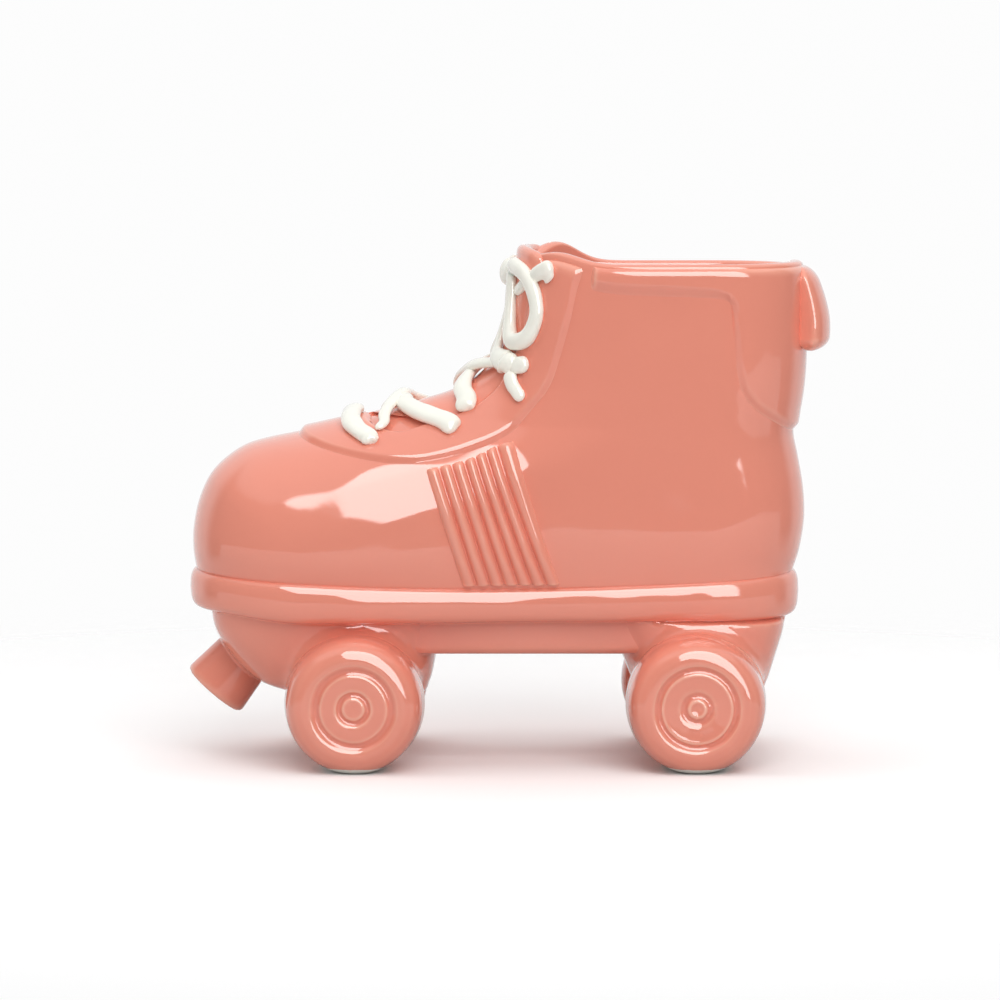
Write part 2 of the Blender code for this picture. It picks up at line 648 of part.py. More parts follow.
# ---- laces --------------------------------------------------------------------------------
# A lace runs through (turn, level, extra lift) places. Side view places are shares of length
# and height, and a negative side is the left one.
def on_side(share_x, share_z, side, extra=0.0):
    turn, level = side_view(share_x, share_z)
    return side * turn, level, extra


def on_ridge(share_x, extra=0.0, turn=0.0):
    return turn, ridge(share_x)[1], extra


def lace(name, places, glaze, width=LACE_WIDTH, thickness=LACE_THICKNESS, grow=0.0, steps=13):
    """A strip of clay with a flat underside and round ends, laid along places on the boot."""
    line = smooth_through([(t, lv * 3, ex * 100) for t, lv, ex in places]) / [1, 3, 100]
    spine = boot_point(line[:, 0], line[:, 1])
    run = np.concatenate([[0], np.cumsum(np.linalg.norm(np.diff(spine, axis=0), axis=1))])
    even = np.linspace(0, 1, steps)
    crowded = (1 - np.cos(math.pi * even)) / 2  # rings close together at the round ends
    wanted = run[-1] * (even + crowded) / 2
    turn, level, extra = (np.interp(wanted, run, column) for column in line.T)
    base = boot_point(turn, level, LACE_LIFT + extra - grow)
    up = boot_normal(turn, level)
    along = np.gradient(base, axis=0)
    along /= np.linalg.norm(along, axis=1, keepdims=True)
    across = np.cross(along, up)
    across /= np.linalg.norm(across, axis=1, keepdims=True)
    section = [(-1, 0), (-0.98, 0.42), (-0.62, 0.85), (0, 1), (0.62, 0.85), (0.98, 0.42), (1, 0)]
    size = np.ones(steps)
    size[[0, -1]] = 0.55
    size[[1, -2]] = 0.92
    rings = []
    for i in range(steps):
        half, high = (width / 2 * size[i] + grow), (thickness * (0.3 + 0.7 * size[i]) + 2 * grow)
        rings.append([base[i] + across[i] * half * a + up[i] * high * b for a, b in section])
    return add(name, rings_mesh(name, rings), glaze)


def towards(place, target, share):
    """A place part of the way from one to another, so a strand starts inside its knot."""
    return tuple(a + (b - a) * share for a, b in zip(place, target))


def knot(name, place, glaze, radius=KNOT_RADIUS, wide=1.0, grow=0.0):
    """A flattened ball of clay on the boot, stretched sideways."""
    turn, level, extra = place
    half = radius * KNOT_FLATNESS
    centre = boot_point(turn, level, LACE_LIFT + extra + half)
    bpy.ops.mesh.primitive_uv_sphere_add(segments=16, ring_count=8, radius=1)
    ball = bpy.context.object
    mesh = ball.data
    bpy.data.objects.remove(ball)
    mesh.name = name
    turn_to = Vector(boot_normal(turn, level)).to_track_quat("Z", "Y").to_matrix().to_4x4()
    size = Matrix.Diagonal((radius * wide + grow, radius + grow, half + grow, 1))
    mesh.transform(Matrix.Translation(centre) @ turn_to @ size)
    return add(name, mesh, glaze)


# Places on the boot as (turn, level), from the knot down the back and up the front of the loop.
BOW_LOOP = [(0.14, 0.940), (0.36, 0.926), (0.56, 0.888), (0.645, 0.838), (0.565, 0.803),
            (0.38, 0.818), (0.25, 0.848), (0.20, 0.880), (0.17, 0.904)]
RISER = [(0.150, 0.803), (0.090, 0.865)]
# Places in the side view, as shares of the boot's length and height.
BOW_TAIL = [(0.558, 0.912), (0.588, 0.955)]
EYELET = (0.522, 0.662)
EYELET_STUB = (0.548, 0.675)
EYELET_END = (0.529, 0.568)
UPPER_CROSS = [(0.443, 0.510), (0.453, 0.575)]
UPPER_CROSS_RIDGE = 0.470
LOWER_CROSS = (0.424, 0.455)
LOWER_CROSS_RIDGE = 0.333
LOWER_CROSS_TIP = (0.298, 0.447)
FRONT_BAR = (0.284, 0.410)
FRONT_BAR_RIDGE = 0.266


def lace_pieces(glaze):
    """Every lace piece, each trimmed by the pieces laid before it."""
    top = RIM_LEVEL - 0.022
    pieces = [("bow_knot", knot, (0.0, top, 0.0), {"wide": 1.75})]
    sides = ((-1, "left"), (1, "right"))
    for side, word in sides:
        pieces.append((f"eyelet_knot_{word}", knot, on_side(*EYELET, side), {"radius": 3.4 * MM}))
    for side, word in sides:
        loop = [(side * turn, level, 0.0) for turn, level in BOW_LOOP]
        pieces.append((f"bow_loop_{word}", lace, loop,
                       {"width": 3.9 * MM, "thickness": 3.3 * MM, "steps": 29}))
    for side, word in sides:
        tail = [on_side(*place, side) for place in BOW_TAIL]
        pieces.append((f"bow_tail_{word}", lace, tail, {"width": 3.8 * MM, "steps": 6}))
    for side, word in sides:
        eyelet = on_side(*EYELET, side)
        riser = [(side * turn, level, 0.0) for turn, level in RISER]
        riser = [towards(eyelet, riser[0], 0.15), *riser]
        pieces.append((f"lace_riser_{word}", lace, riser, {"width": 2.6 * MM, "steps": 7}))
        for part, place, share in (("stub", EYELET_STUB, 0.3), ("end", EYELET_END, 0.17)):
            tip = on_side(*place, side)
            pieces.append((f"lace_{part}_{word}", lace, [towards(eyelet, tip, share), tip],
                           {"width": 4.2 * MM, "steps": 6}))
    for side, word in sides:
        over = (LACE_THICKNESS + 3 * GAP) * (side > 0)  # the right strand of a pair lies on top
        middle = on_ridge(UPPER_CROSS_RIDGE, over)
        high = [*(on_side(*place, side) for place in UPPER_CROSS), middle,
                towards(on_side(*EYELET, -side), middle, 0.15)]
        pieces.append((f"upper_cross_{word}", lace, high, {"width": 4.2 * MM}))
        low = [on_side(*LOWER_CROSS, side), on_ridge(LOWER_CROSS_RIDGE, over),
               on_side(*LOWER_CROSS_TIP, -side)]
        pieces.append((f"lower_cross_{word}", lace, low, {}))
    bar = [on_side(*FRONT_BAR, -1), on_ridge(FRONT_BAR_RIDGE), on_side(*FRONT_BAR, 1)]
    pieces.append(("front_bar", lace, bar, {"width": 5.4 * MM}))

    laid = []
    for name, build, place, sizes in pieces:
        piece = build(name, place, glaze, **sizes)
        cut(piece, *laid)
        laid.append(as_cutter(build(name + "_clearance", place, glaze, grow=GAP, **sizes)))


def main():
    start_scene()
    coral = material("coral_glaze", (0.80, 0.29, 0.22), 0.08)
    white = material("white_glaze", (0.86, 0.86, 0.80), 0.12)
    boot_shell(coral)
    sole_band(coral)
    lace_facing(coral)
    tongue(coral)
    collar_and_heel_patch(coral)
    for side, word in ((-1, "left"), (1, "right")):
        ribbed_panel(f"ribbed_panel_{word}", side, coral)
    pull_tab(coral)
    truck_tub("front_truck_tub", FRONT_TUB, FRONT_AXLE_X, coral)
    truck_tub("rear_truck_tub", REAR_TUB, REAR_AXLE_X, coral)
    keel(coral)
    toe_stop(coral)
    for axle_x, end in ((FRONT_AXLE_X, "front"), (REAR_AXLE_X, "rear")):
        for side, word in ((-1, "left"), (1, "right")):
            wheel(f"{end}_{word}_wheel", axle_x, side, coral)
    lace_pieces(white)


main()
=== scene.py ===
import math

import bpy
import numpy as np
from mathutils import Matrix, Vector


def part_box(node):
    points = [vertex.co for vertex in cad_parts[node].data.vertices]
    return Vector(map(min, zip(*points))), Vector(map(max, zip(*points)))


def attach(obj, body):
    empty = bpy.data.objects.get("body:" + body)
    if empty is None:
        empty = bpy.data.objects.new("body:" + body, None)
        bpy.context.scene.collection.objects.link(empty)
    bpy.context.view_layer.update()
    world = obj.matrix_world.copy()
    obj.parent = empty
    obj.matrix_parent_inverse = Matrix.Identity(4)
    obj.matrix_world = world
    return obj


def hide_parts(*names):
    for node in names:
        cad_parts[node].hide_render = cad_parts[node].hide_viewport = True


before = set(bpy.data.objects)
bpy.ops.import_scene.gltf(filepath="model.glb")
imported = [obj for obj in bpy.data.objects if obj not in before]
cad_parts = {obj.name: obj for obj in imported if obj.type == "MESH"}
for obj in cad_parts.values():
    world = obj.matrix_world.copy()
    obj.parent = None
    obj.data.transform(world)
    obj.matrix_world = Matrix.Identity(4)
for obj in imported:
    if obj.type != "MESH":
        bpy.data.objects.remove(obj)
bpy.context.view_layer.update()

mm = 0.001
pi = math.pi

cameraSettings = {
    "target": (-2.5 * mm, 0.0, 80.5 * mm),
    "distance": 1.69,
    "pitch": 5.3,  # degrees down
    "lens": 194.7,
}


def newObject(name, data):
    made = bpy.data.objects.new(name, data)
    bpy.context.scene.collection.objects.link(made)
    return made


def makeCamera(settings):
    pitch = math.radians(settings["pitch"])
    target = Vector(settings["target"])
    camera = newObject("camera", bpy.data.cameras.new("camera"))
    camera.data.lens = settings["lens"]
    camera.data.clip_end = 100
    camera.location = target + Vector((0, -math.cos(pitch), math.sin(pitch))) * settings["distance"]
    camera.rotation_euler = (target - camera.location).to_track_quat("-Z", "Y").to_euler()
    bpy.context.scene.camera = camera


makeCamera(cameraSettings)


# The boot's surface is worked out as in the CAD. A place on it is a turn (0 on the front ridge,
# pi at the heel, negative on the left) and a level (0 at the crease over the sole band, rimLevel
# at the rim).

def smoothThrough(points, stepsEach=12):
    # Catmull-Rom curve with evenly spaced samples
    p = np.array(points, float)
    p = np.vstack([2 * p[0] - p[1], p, 2 * p[-1] - p[-2]])
    t = np.linspace(0, 1, stepsEach, endpoint=False)[:, None]
    spans = []
    for a, b, c, d in zip(p, p[1:], p[2:], p[3:]):
        spans.append(0.5 * (2 * b + (c - a) * t + (2 * a - 5 * b + 4 * c - d) * t**2
                            + (3 * b - 3 * c + d - a) * t**3))
    line = np.vstack([*spans, p[-2:-1]])
    along = np.concatenate([[0], np.cumsum(np.linalg.norm(np.diff(line, axis=0), axis=1))])
    even = np.linspace(0, along[-1], len(line))
    return np.column_stack([np.interp(even, along, column) for column in line.T])


def smoothStep(t):
    t = np.clip(t, 0, 1)
    return t * t * (3 - 2 * t)


bootOutline = {  # shares of the boot's length behind the toe, and of its height over the crease
    "front": [(0.000, 0.000), (-0.005, 0.065), (-0.004, 0.140), (0.007, 0.235), (0.030, 0.325),
              (0.074, 0.395), (0.120, 0.425), (0.170, 0.445), (0.240, 0.478), (0.310, 0.510),
              (0.370, 0.542), (0.425, 0.580), (0.467, 0.632), (0.495, 0.700), (0.513, 0.790),
              (0.524, 0.880), (0.533, 1.000), (0.538, 1.090)],
    "rear": [(0.977, -0.003), (0.987, 0.060), (0.994, 0.160), (0.992, 0.270), (0.983, 0.375),
             (0.976, 0.445), (0.979, 0.510), (0.985, 0.590), (0.989, 0.690), (0.990, 0.850),
             (0.990, 1.000), (0.990, 1.072)],
    "rearCrowding": 1.3,
    "height": 94.5 * mm,
    "heelHalfWidth": 31.5 * mm,
    "wall": 4.5 * mm,
    "rimLevel": 0.948,
    "bandRise": 4.0 * mm,
    "tuck": 0.05,  # how far the sides draw in at the crease
    # radius of the ridge against the level, and of the heel
    "ridge": ([0, 0.3, 0.52, 0.68, 0.85, 1], [34, 34, 50, 48, 38, 36]),
    "heelRound": 30 * mm,
    # the rim's front corner stands up, more so on the right, where the whole rim settled a little
    "cornerRise": 3.6 * mm, "rightCornerRise": 2.9 * mm, "rightSettle": 1.5 * mm,
}

shellLow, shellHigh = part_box("boot_shell")
bandLow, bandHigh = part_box("sole_band")
toeShare = smoothThrough(bootOutline["front"])[:, 0].min()
heelShare = smoothThrough(bootOutline["rear"])[:, 0].max()
bootLength = (shellHigh[0] - shellLow[0]) / (heelShare - toeShare)
bootFrontX = shellLow[0] - toeShare * bootLength
bootMiddleX = bootFrontX + bootLength / 2
ballHalfWidth = shellHigh[1]
toeCreaseZ = bandHigh[2] + 0.35 * mm
soleZ = bandLow[2]
rimLevel = bootOutline["rimLevel"]
wall = bootOutline["wall"]


def placed(shares):
    shares = np.array(shares)
    return smoothThrough(np.column_stack([bootFrontX + shares[:, 0] * bootLength,
                                          toeCreaseZ + shares[:, 1] * bootOutline["height"]]))


frontLine = placed(bootOutline["front"])
rearLine = placed(bootOutline["rear"])


def along(line, share):
    steps = np.linspace(0, 1, len(line))
    return np.interp(share, steps, line[:, 0]), np.interp(share, steps, line[:, 1])


def rounding(distance, radius, fullness=2.25):
    t = np.clip(distance / radius, 0, 1)
    return (1 - (1 - t) ** fullness) ** (1 / fullness)


def distanceTo(line, x, z):
    start, span = line[:-1], np.diff(line, axis=0)
    size = (span**2).sum(-1)
    points = np.stack([np.ravel(x), np.ravel(z)], -1)
    found = []
    for chunk in np.array_split(points, max(1, len(points) // 4000)):
        offset = chunk[:, None, :] - start
        share = np.clip((offset * span).sum(-1) / size, 0, 1)
        found.append(np.linalg.norm(offset - share[..., None] * span, axis=-1).min(-1))
    return np.concatenate(found).reshape(np.shape(x))


def archDip(x):
    return 1 - np.clip(abs(x - bootMiddleX) / (bootLength / 2), 0, 1) ** 1.6


def halfWidth(x, z, level, dip):
    # the distances are taken before the dip, or the heel would fold over its own ridge
    toeShare = smoothStep((bootMiddleX + 12 * mm - x) / (0.33 * bootLength))
    heel = bootOutline["heelHalfWidth"]
    width = heel + (ballHalfWidth - heel) * toeShare
    tuckHeight = (17 - 9 * toeShare) * mm
    creaseZ = toeCreaseZ - bootOutline["bandRise"] * archDip(x)
    above = np.clip((z - dip - creaseZ) / tuckHeight, 0, 1)
    width = width * (1 - bootOutline["tuck"] * (1 - above) ** 2)
    ridge = np.interp(level, *bootOutline["ridge"]) * mm
    return (width * rounding(distanceTo(frontLine, x, z), ridge)
            * rounding(distanceTo(rearLine, x, z), bootOutline["heelRound"]))


def barePoint(turn, level):
    frontX, frontZ = along(frontLine, level)
    rearX, rearZ = along(rearLine, level ** bootOutline["rearCrowding"])
    share = (1 - np.cos(turn)) / 2
    x = frontX + (rearX - frontX) * share
    z = frontZ + (rearZ - frontZ) * share
    dip = bootOutline["bandRise"] * archDip(x) * np.clip(1 - level / 0.3, 0, 1) ** 2
    y = np.sign(np.sin(turn)) * halfWidth(x, z, level, dip)
    z = z - dip
    corner = np.exp(-(((x - frontX) / (10 * mm) - 0.9) ** 2)) * smoothStep((level - 0.75) / 0.2)
    right = smoothStep(y / (18 * mm)) * smoothStep((level - 0.8) / 0.15)
    z = z + bootOutline["cornerRise"] * corner
    z = z + right * (bootOutline["rightCornerRise"] * corner - bootOutline["rightSettle"])
    return np.stack([x, y, z], -1)


def outwardAt(turn, level):
    step = 3e-3
    low = np.maximum(level - step, 0)
    across = barePoint(turn + step, level) - barePoint(turn - step, level)
    up = barePoint(turn, low + 2 * step) - barePoint(turn, low)
    normal = np.cross(up, across)
    return normal / np.linalg.norm(normal, axis=-1, keepdims=True)


def unevenness(points):
    # the slight waviness of a hand-finished casting, the same wherever two pieces meet
    x, y, z = (points[..., i] / mm for i in range(3))
    waves = (np.sin(0.15 * x + 0.05 * z + 0.7) + 0.8 * np.sin(0.09 * x - 0.19 * z + 1.9)
             + 0.4 * np.sin(0.31 * x + 0.12 * z + 0.11 * y + 2.3)
             + 0.3 * np.sin(0.07 * x + 0.33 * z - 0.2 * y))
    return waves * 0.05 * mm


def bootSurface(turn, level):
    # returns a function from a lift to the points at that height over the boot
    turn, level = np.broadcast_arrays(np.asarray(turn, float), np.asarray(level, float))
    bare, outward = barePoint(turn, level), outwardAt(turn, level)
    uneven = unevenness(bare)

    def lifted(lift=0.0):
        return bare + outward * (np.broadcast_to(lift, turn.shape) + uneven)[..., None]
    lifted.outward = outward
    return lifted


def bootPoint(turn, level, lift=0.0):
    return bootSurface(turn, level)(lift)


def locate(x, z):
    levels = np.linspace(0, 1, 600)
    frontX, frontZ = along(frontLine, levels)
    rearX, rearZ = along(rearLine, levels ** bootOutline["rearCrowding"])
    share = np.clip((x - frontX) / (rearX - frontX), 0, 1)
    dip = bootOutline["bandRise"] * archDip(x) * np.clip(1 - levels / 0.3, 0, 1) ** 2
    height = frontZ + (rearZ - frontZ) * share - dip
    level = np.interp(z, height, levels)
    return math.acos(1 - 2 * np.interp(level, levels, share)), level


def sideView(shareX, shareZ):
    return locate(bootFrontX + shareX * bootLength, toeCreaseZ + shareZ * bootOutline["height"])


def onRidge(shareX):
    x = bootFrontX + shareX * bootLength
    top = frontLine[:, 1] > toeCreaseZ + 0.3 * bootOutline["height"]
    steps = np.linspace(0, 1, len(frontLine))[top]
    return 0.0, float(np.interp(x, frontLine[top, 0], steps))


def meshFrom(name, points, quads):
    # closed surface from an array of points and an array of quads, turned outwards
    points = np.asarray(points, float).reshape(-1, 3)
    quads = np.asarray(quads, int)
    a, b, c, d = (points[quads[:, i]] for i in range(4))
    volume = (np.einsum("ij,ij->i", a, np.cross(b, c)).sum()
              + np.einsum("ij,ij->i", a, np.cross(c, d)).sum())
    if volume < 0:
        quads = quads[:, ::-1]
    mesh = bpy.data.meshes.new(name)
    mesh.vertices.add(len(points))
    mesh.vertices.foreach_set("co", points.ravel())
    mesh.loops.add(quads.size)
    mesh.loops.foreach_set("vertex_index", quads.ravel())
    mesh.polygons.add(len(quads))
    mesh.polygons.foreach_set("loop_start", np.arange(len(quads)) * 4)
    mesh.update(calc_edges=True)
    mesh.validate()
    mesh.shade_smooth()
    return mesh


def gridQuads(rows, columns, wrapRows=False, wrapColumns=False, first=0):
    r = np.arange(rows if wrapRows else rows - 1)[:, None]
    c = np.arange(columns if wrapColumns else columns - 1)[None, :]
    r2, c2 = (r + 1) % rows, (c + 1) % columns
    quads = np.stack([r * columns + c, r * columns + c2, r2 * columns + c2, r2 * columns + c], -1)
    return quads.reshape(-1, 4) + first


def slab(name, top, under):
    # a sheet with a top and an underside on the same grid, closed round its border
    rows, columns = top.shape[:2]
    count = rows * columns
    ids = np.arange(count).reshape(rows, columns)
    border = np.concatenate([ids[0, :-1], ids[:-1, -1], ids[-1, :0:-1], ids[:0:-1, 0]])
    following = np.roll(border, -1)
    walls = np.stack([border, following, following + count, border + count], -1)
    faces = np.concatenate([gridQuads(rows, columns),
                            gridQuads(rows, columns, first=count)[:, ::-1], walls[:, ::-1]])
    return meshFrom(name, np.concatenate([top.reshape(-1, 3), under.reshape(-1, 3)]), faces)


def ringSkin(name, rings):
    # rings of points joined into a tube, its two ends closed by a row of quads across them
    rings = np.asarray(rings, float)
    rows, columns = rings.shape[:2]
    faces = [gridQuads(rows, columns, wrapColumns=True)]
    for row in (0, rows - 1):
        i = np.arange(columns // 2 - 1)
        base = row * columns
        cap = np.stack([base + i, base + i + 1, base + columns - 2 - i, base + columns - 1 - i], -1)
        faces.append(cap if row == 0 else cap[:, ::-1])
    return meshFrom(name, rings, np.concatenate(faces))


def softened(grid, passes, wrapColumns=False):
    # evens out a grid of points without moving its border
    for _ in range(passes):
        inner = grid.copy()
        inner[1:-1] = (grid[:-2] + 2 * grid[1:-1] + grid[2:]) / 4
        if wrapColumns:
            inner = (np.roll(inner, 1, 1) + 2 * inner + np.roll(inner, -1, 1)) / 4
        else:
            inner[:, 1:-1] = (inner[:, :-2] + 2 * inner[:, 1:-1] + inner[:, 2:]) / 4
        inner[0], inner[-1] = grid[0], grid[-1]
        grid = inner
    return grid


def neighbourMean(values, edges, count):
    total = np.bincount(edges[:, 0], values[edges[:, 1]], count)
    total += np.bincount(edges[:, 1], values[edges[:, 0]], count)
    degree = np.bincount(edges.ravel(), minlength=count)
    return total / np.maximum(degree, 1)


def addLayer(mesh, name, kind, values):
    layer = mesh.attributes.new(name, kind, "POINT")
    field = "vector" if kind == "FLOAT_VECTOR" else "value"
    layer.data.foreach_set(field, np.asarray(values, np.float32).ravel())


def markGlaze(mesh, thinRadius=0.8 * mm, poolRadius=1.6 * mm, passes=3):
    # how far the glaze runs thin over convex edges and gathers in hollows, kept on the vertices
    count = len(mesh.vertices)
    points, normals = np.empty(count * 3), np.empty(count * 3)
    mesh.vertices.foreach_get("co", points)
    mesh.vertices.foreach_get("normal", normals)
    points, normals = points.reshape(-1, 3), normals.reshape(-1, 3)
    edges = np.empty(len(mesh.edges) * 2, int)
    mesh.edges.foreach_get("vertices", edges)
    edges = edges.reshape(-1, 2)
    offset = np.column_stack([neighbourMean(points[:, i], edges, count) for i in range(3)]) - points
    length = np.linalg.norm(points[edges[:, 0]] - points[edges[:, 1]], axis=1)
    size = np.bincount(edges[:, 0], length**2, count) + np.bincount(edges[:, 1], length**2, count)
    size /= np.maximum(np.bincount(edges.ravel(), minlength=count), 1)
    bend = -4 * (offset * normals).sum(1) / np.maximum(size, 1e-12)
    for _ in range(passes):
        bend = 0.5 * bend + 0.5 * neighbourMean(bend, edges, count)
    for name, amount in (("glazeThin", bend * thinRadius), ("glazePool", -bend * poolRadius)):
        addLayer(mesh, name, "FLOAT", np.clip(amount - 0.12, 0, 1))


def turnOutward(mesh):
    points = np.empty(len(mesh.vertices) * 3)
    mesh.vertices.foreach_get("co", points)
    points = points.reshape(-1, 3)
    mesh.calc_loop_triangles()
    triangles = np.empty(len(mesh.loop_triangles) * 3, int)
    mesh.loop_triangles.foreach_get("vertices", triangles)
    a, b, c = (points[triangles.reshape(-1, 3)[:, i]] for i in range(3))
    if np.einsum("ij,ij->i", a, np.cross(b, c)).sum() < 0:
        mesh.flip_normals()


def addPiece(name, mesh, material, nodes, passes=3):
    piece = newObject(name, mesh)
    if not mesh.materials:
        mesh.materials.append(material)
    turnOutward(mesh)
    markGlaze(mesh, passes=passes)
    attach(piece, "root")
    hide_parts(*nodes)


# Each field gives the distance to a form, negative inside it.

def softMin(a, b, radius):
    h = np.clip(0.5 + 0.5 * (b - a) / radius, 0, 1)
    return b + (a - b) * h - radius * h * (1 - h)


def softMax(a, b, radius):
    return -softMin(-a, -b, radius)


def skinOf(name, field, low, high, step):
    # surface net over the field, then each point is moved onto the field's zero
    axes = [np.arange(lo, hi + step, step) for lo, hi in zip(low, high)]
    grid = np.stack(np.meshgrid(*axes, indexing="ij"), -1)
    value = field(grid)
    size = np.array(value.shape) - 1
    total = np.zeros((*size, 3))
    hits = np.zeros(size)
    base = np.stack(np.meshgrid(*[np.arange(n) for n in size], indexing="ij"), -1).astype(float)

    def corner(offset):
        return value[tuple(slice(o, o + n) for o, n in zip(offset, size))]

    for axis in range(3):
        others = [i for i in range(3) if i != axis]
        for p in (0, 1):
            for q in (0, 1):
                start = [0, 0, 0]
                start[others[0]], start[others[1]] = p, q
                end = list(start)
                end[axis] = 1
                a, b = corner(start), corner(end)
                crosses = (a < 0) != (b < 0)
                share = np.where(crosses, a / np.where(crosses, a - b, 1), 0)
                place = base + np.array(start)
                place[..., axis] += share
                total += np.where(crosses[..., None], place, 0)
                hits += crosses
    active = hits > 0
    ids = np.full(size, -1)
    ids[active] = np.arange(active.sum())
    points = np.array([a[0] for a in axes]) + step * total[active] / hits[active][:, None]
    quads = []
    for axis in range(3):
        v, w = (i for i in range(3) if i != axis)
        inner = [slice(1, -1)] * 3
        inner[axis] = slice(0, -1)
        after = list(inner)
        after[axis] = slice(1, None)
        a, b = value[tuple(inner)], value[tuple(after)]
        at = np.argwhere((a < 0) != (b < 0))
        rising = a[tuple(at.T)] < 0
        at[:, v] += 1
        at[:, w] += 1
        four = []
        for dv, dw in ((0, 0), (-1, 0), (-1, -1), (0, -1)):
            cell = at.copy()
            cell[:, v] += dv
            cell[:, w] += dw
            four.append(ids[tuple(cell.T)])
        quad = np.stack(four, -1)
        if axis == 1:
            rising = ~rising
        quad[~rising] = quad[~rising][:, ::-1]
        quads.append(quad)
    for _ in range(4):
        here = field(points)
        probe = 0.03 * mm
        slope = np.stack([(field(points + probe * d) - field(points - probe * d)) / (2 * probe)
                          for d in np.eye(3)], -1)
        move = slope * (here / np.maximum((slope**2).sum(-1), 0.05))[:, None]
        points = points - np.clip(move, -0.5 * step, 0.5 * step)
    return meshFrom(name, points, np.concatenate(quads))


def makeTree(name, kind, inputs, outputs):
    tree = bpy.data.node_groups.new(name, kind)
    for socketName, socketType, default in inputs:
        made = tree.interface.new_socket(socketName, in_out="INPUT", socket_type=socketType)
        if default is not None:
            made.default_value = default
    for socketName, socketType in outputs:
        tree.interface.new_socket(socketName, in_out="OUTPUT", socket_type=socketType)
    return tree, tree.nodes.new("NodeGroupInput"), tree.nodes.new("NodeGroupOutput")


def addNode(tree, kind, settings=None, **inputs):
    node = tree.nodes.new(kind)
    for key, value in (settings or {}).items():
        setattr(node, key, value)
    for key, value in inputs.items():
        socket = node.inputs[int(key[2:])] if key.startswith("at") else node.inputs[key]
        if isinstance(value, bpy.types.NodeSocket):
            tree.links.new(value, socket)
        else:
            socket.default_value = value
    return node


def mathNode(tree, operation, *values, clamp=False):
    kind = {"operation": operation, "use_clamp": clamp}
    values = {f"at{i}": value for i, value in enumerate(values)}
    return addNode(tree, "ShaderNodeMath", kind, **values).outputs[0]


def noiseNode(tree, place, scale, detail, **more):
    made = addNode(tree, "ShaderNodeTexNoise", None, Vector=place, Scale=scale, Detail=detail, **more)
    return made.outputs["Fac"]


def rangeNode(tree, value, low=0.0, high=1.0, toLow=0.0, toHigh=1.0, kind="LINEAR"):
    limits = {"From Min": low, "From Max": high, "To Min": toLow, "To Max": toHigh}
    made = addNode(tree, "ShaderNodeMapRange", {"interpolation_type": kind}, Value=value, **limits)
    return made.outputs["Result"]


def mixNode(tree, share, first, second, colour=True):
    at = (6, 7, 2) if colour else (2, 3, 0)
    made = addNode(tree, "ShaderNodeMix", {"data_type": "RGBA" if colour else "FLOAT"}, at0=share,
                   **{f"at{at[0]}": first, f"at{at[1]}": second})
    return made.outputs[at[2]]


def readLayer(tree, name, kind="FLOAT"):
    made = addNode(tree, "GeometryNodeInputNamedAttribute", {"data_type": kind}, Name=name)
    return made.outputs[0]


def finishTree(tree, geometry, start, end):
    whole = addNode(tree, "GeometryNodeRealizeInstances", None, Geometry=geometry)
    done = addNode(tree, "GeometryNodeSetMaterial", None, Geometry=whole.outputs[0],
                   Material=start.outputs["Material"])
    tree.links.new(done.outputs[0], end.inputs["Geometry"])
    return tree


def runTree(obj, tree, values):
    # evaluates the tree on the object and leaves a plain mesh
    modifier = obj.modifiers.new(tree.name, "NODES")
    modifier.node_group = tree
    for item in tree.interface.items_tree:
        if item.item_type == "SOCKET" and item.in_out == "INPUT" and item.name in values:
            modifier[item.identifier] = values[item.name]
    bpy.context.view_layer.update()
    graph = bpy.context.evaluated_depsgraph_get()
    mesh = bpy.data.meshes.new_from_object(obj.evaluated_get(graph))
    bpy.data.objects.remove(obj)
    return mesh


def pointObject(name, points, edges, layers):
    mesh = bpy.data.meshes.new(name)
    mesh.from_pydata([tuple(p) for p in points], edges, [])
    for layer in layers:
        addLayer(mesh, *layer)
    return newObject(name, mesh)


def linear(red, green, blue):
    parts = [c / 255 for c in (red, green, blue)]
    parts = [c / 12.92 if c <= 0.04045 else ((c + 0.055) / 1.055) ** 2.4 for c in parts]
    return (*parts, 1.0)


coralSettings = {
    "body": linear(232, 145, 124),
    "deep": linear(212, 112, 92),
    "thin": linear(250, 196, 172),
    "cloud": 0.05,
    "thinReach": 0.6,
    "poolReach": 0.3,
    "roughness": 0.05,
    "ripple": 0.10,
}
whiteSettings = {
    "body": linear(244, 244, 234),
    "deep": linear(206, 214, 202),
    "thin": linear(250, 214, 196),
    "cloud": 0.05,
    "thinReach": 0.15,
    "poolReach": 0.8,
    "roughness": 0.07,
    "ripple": 0.16,
}
footSettings = {
    "clay": linear(240, 238, 230),
    "height": 2.0 * mm,
    "waver": 0.5 * mm,
    "roughness": 0.62,
}


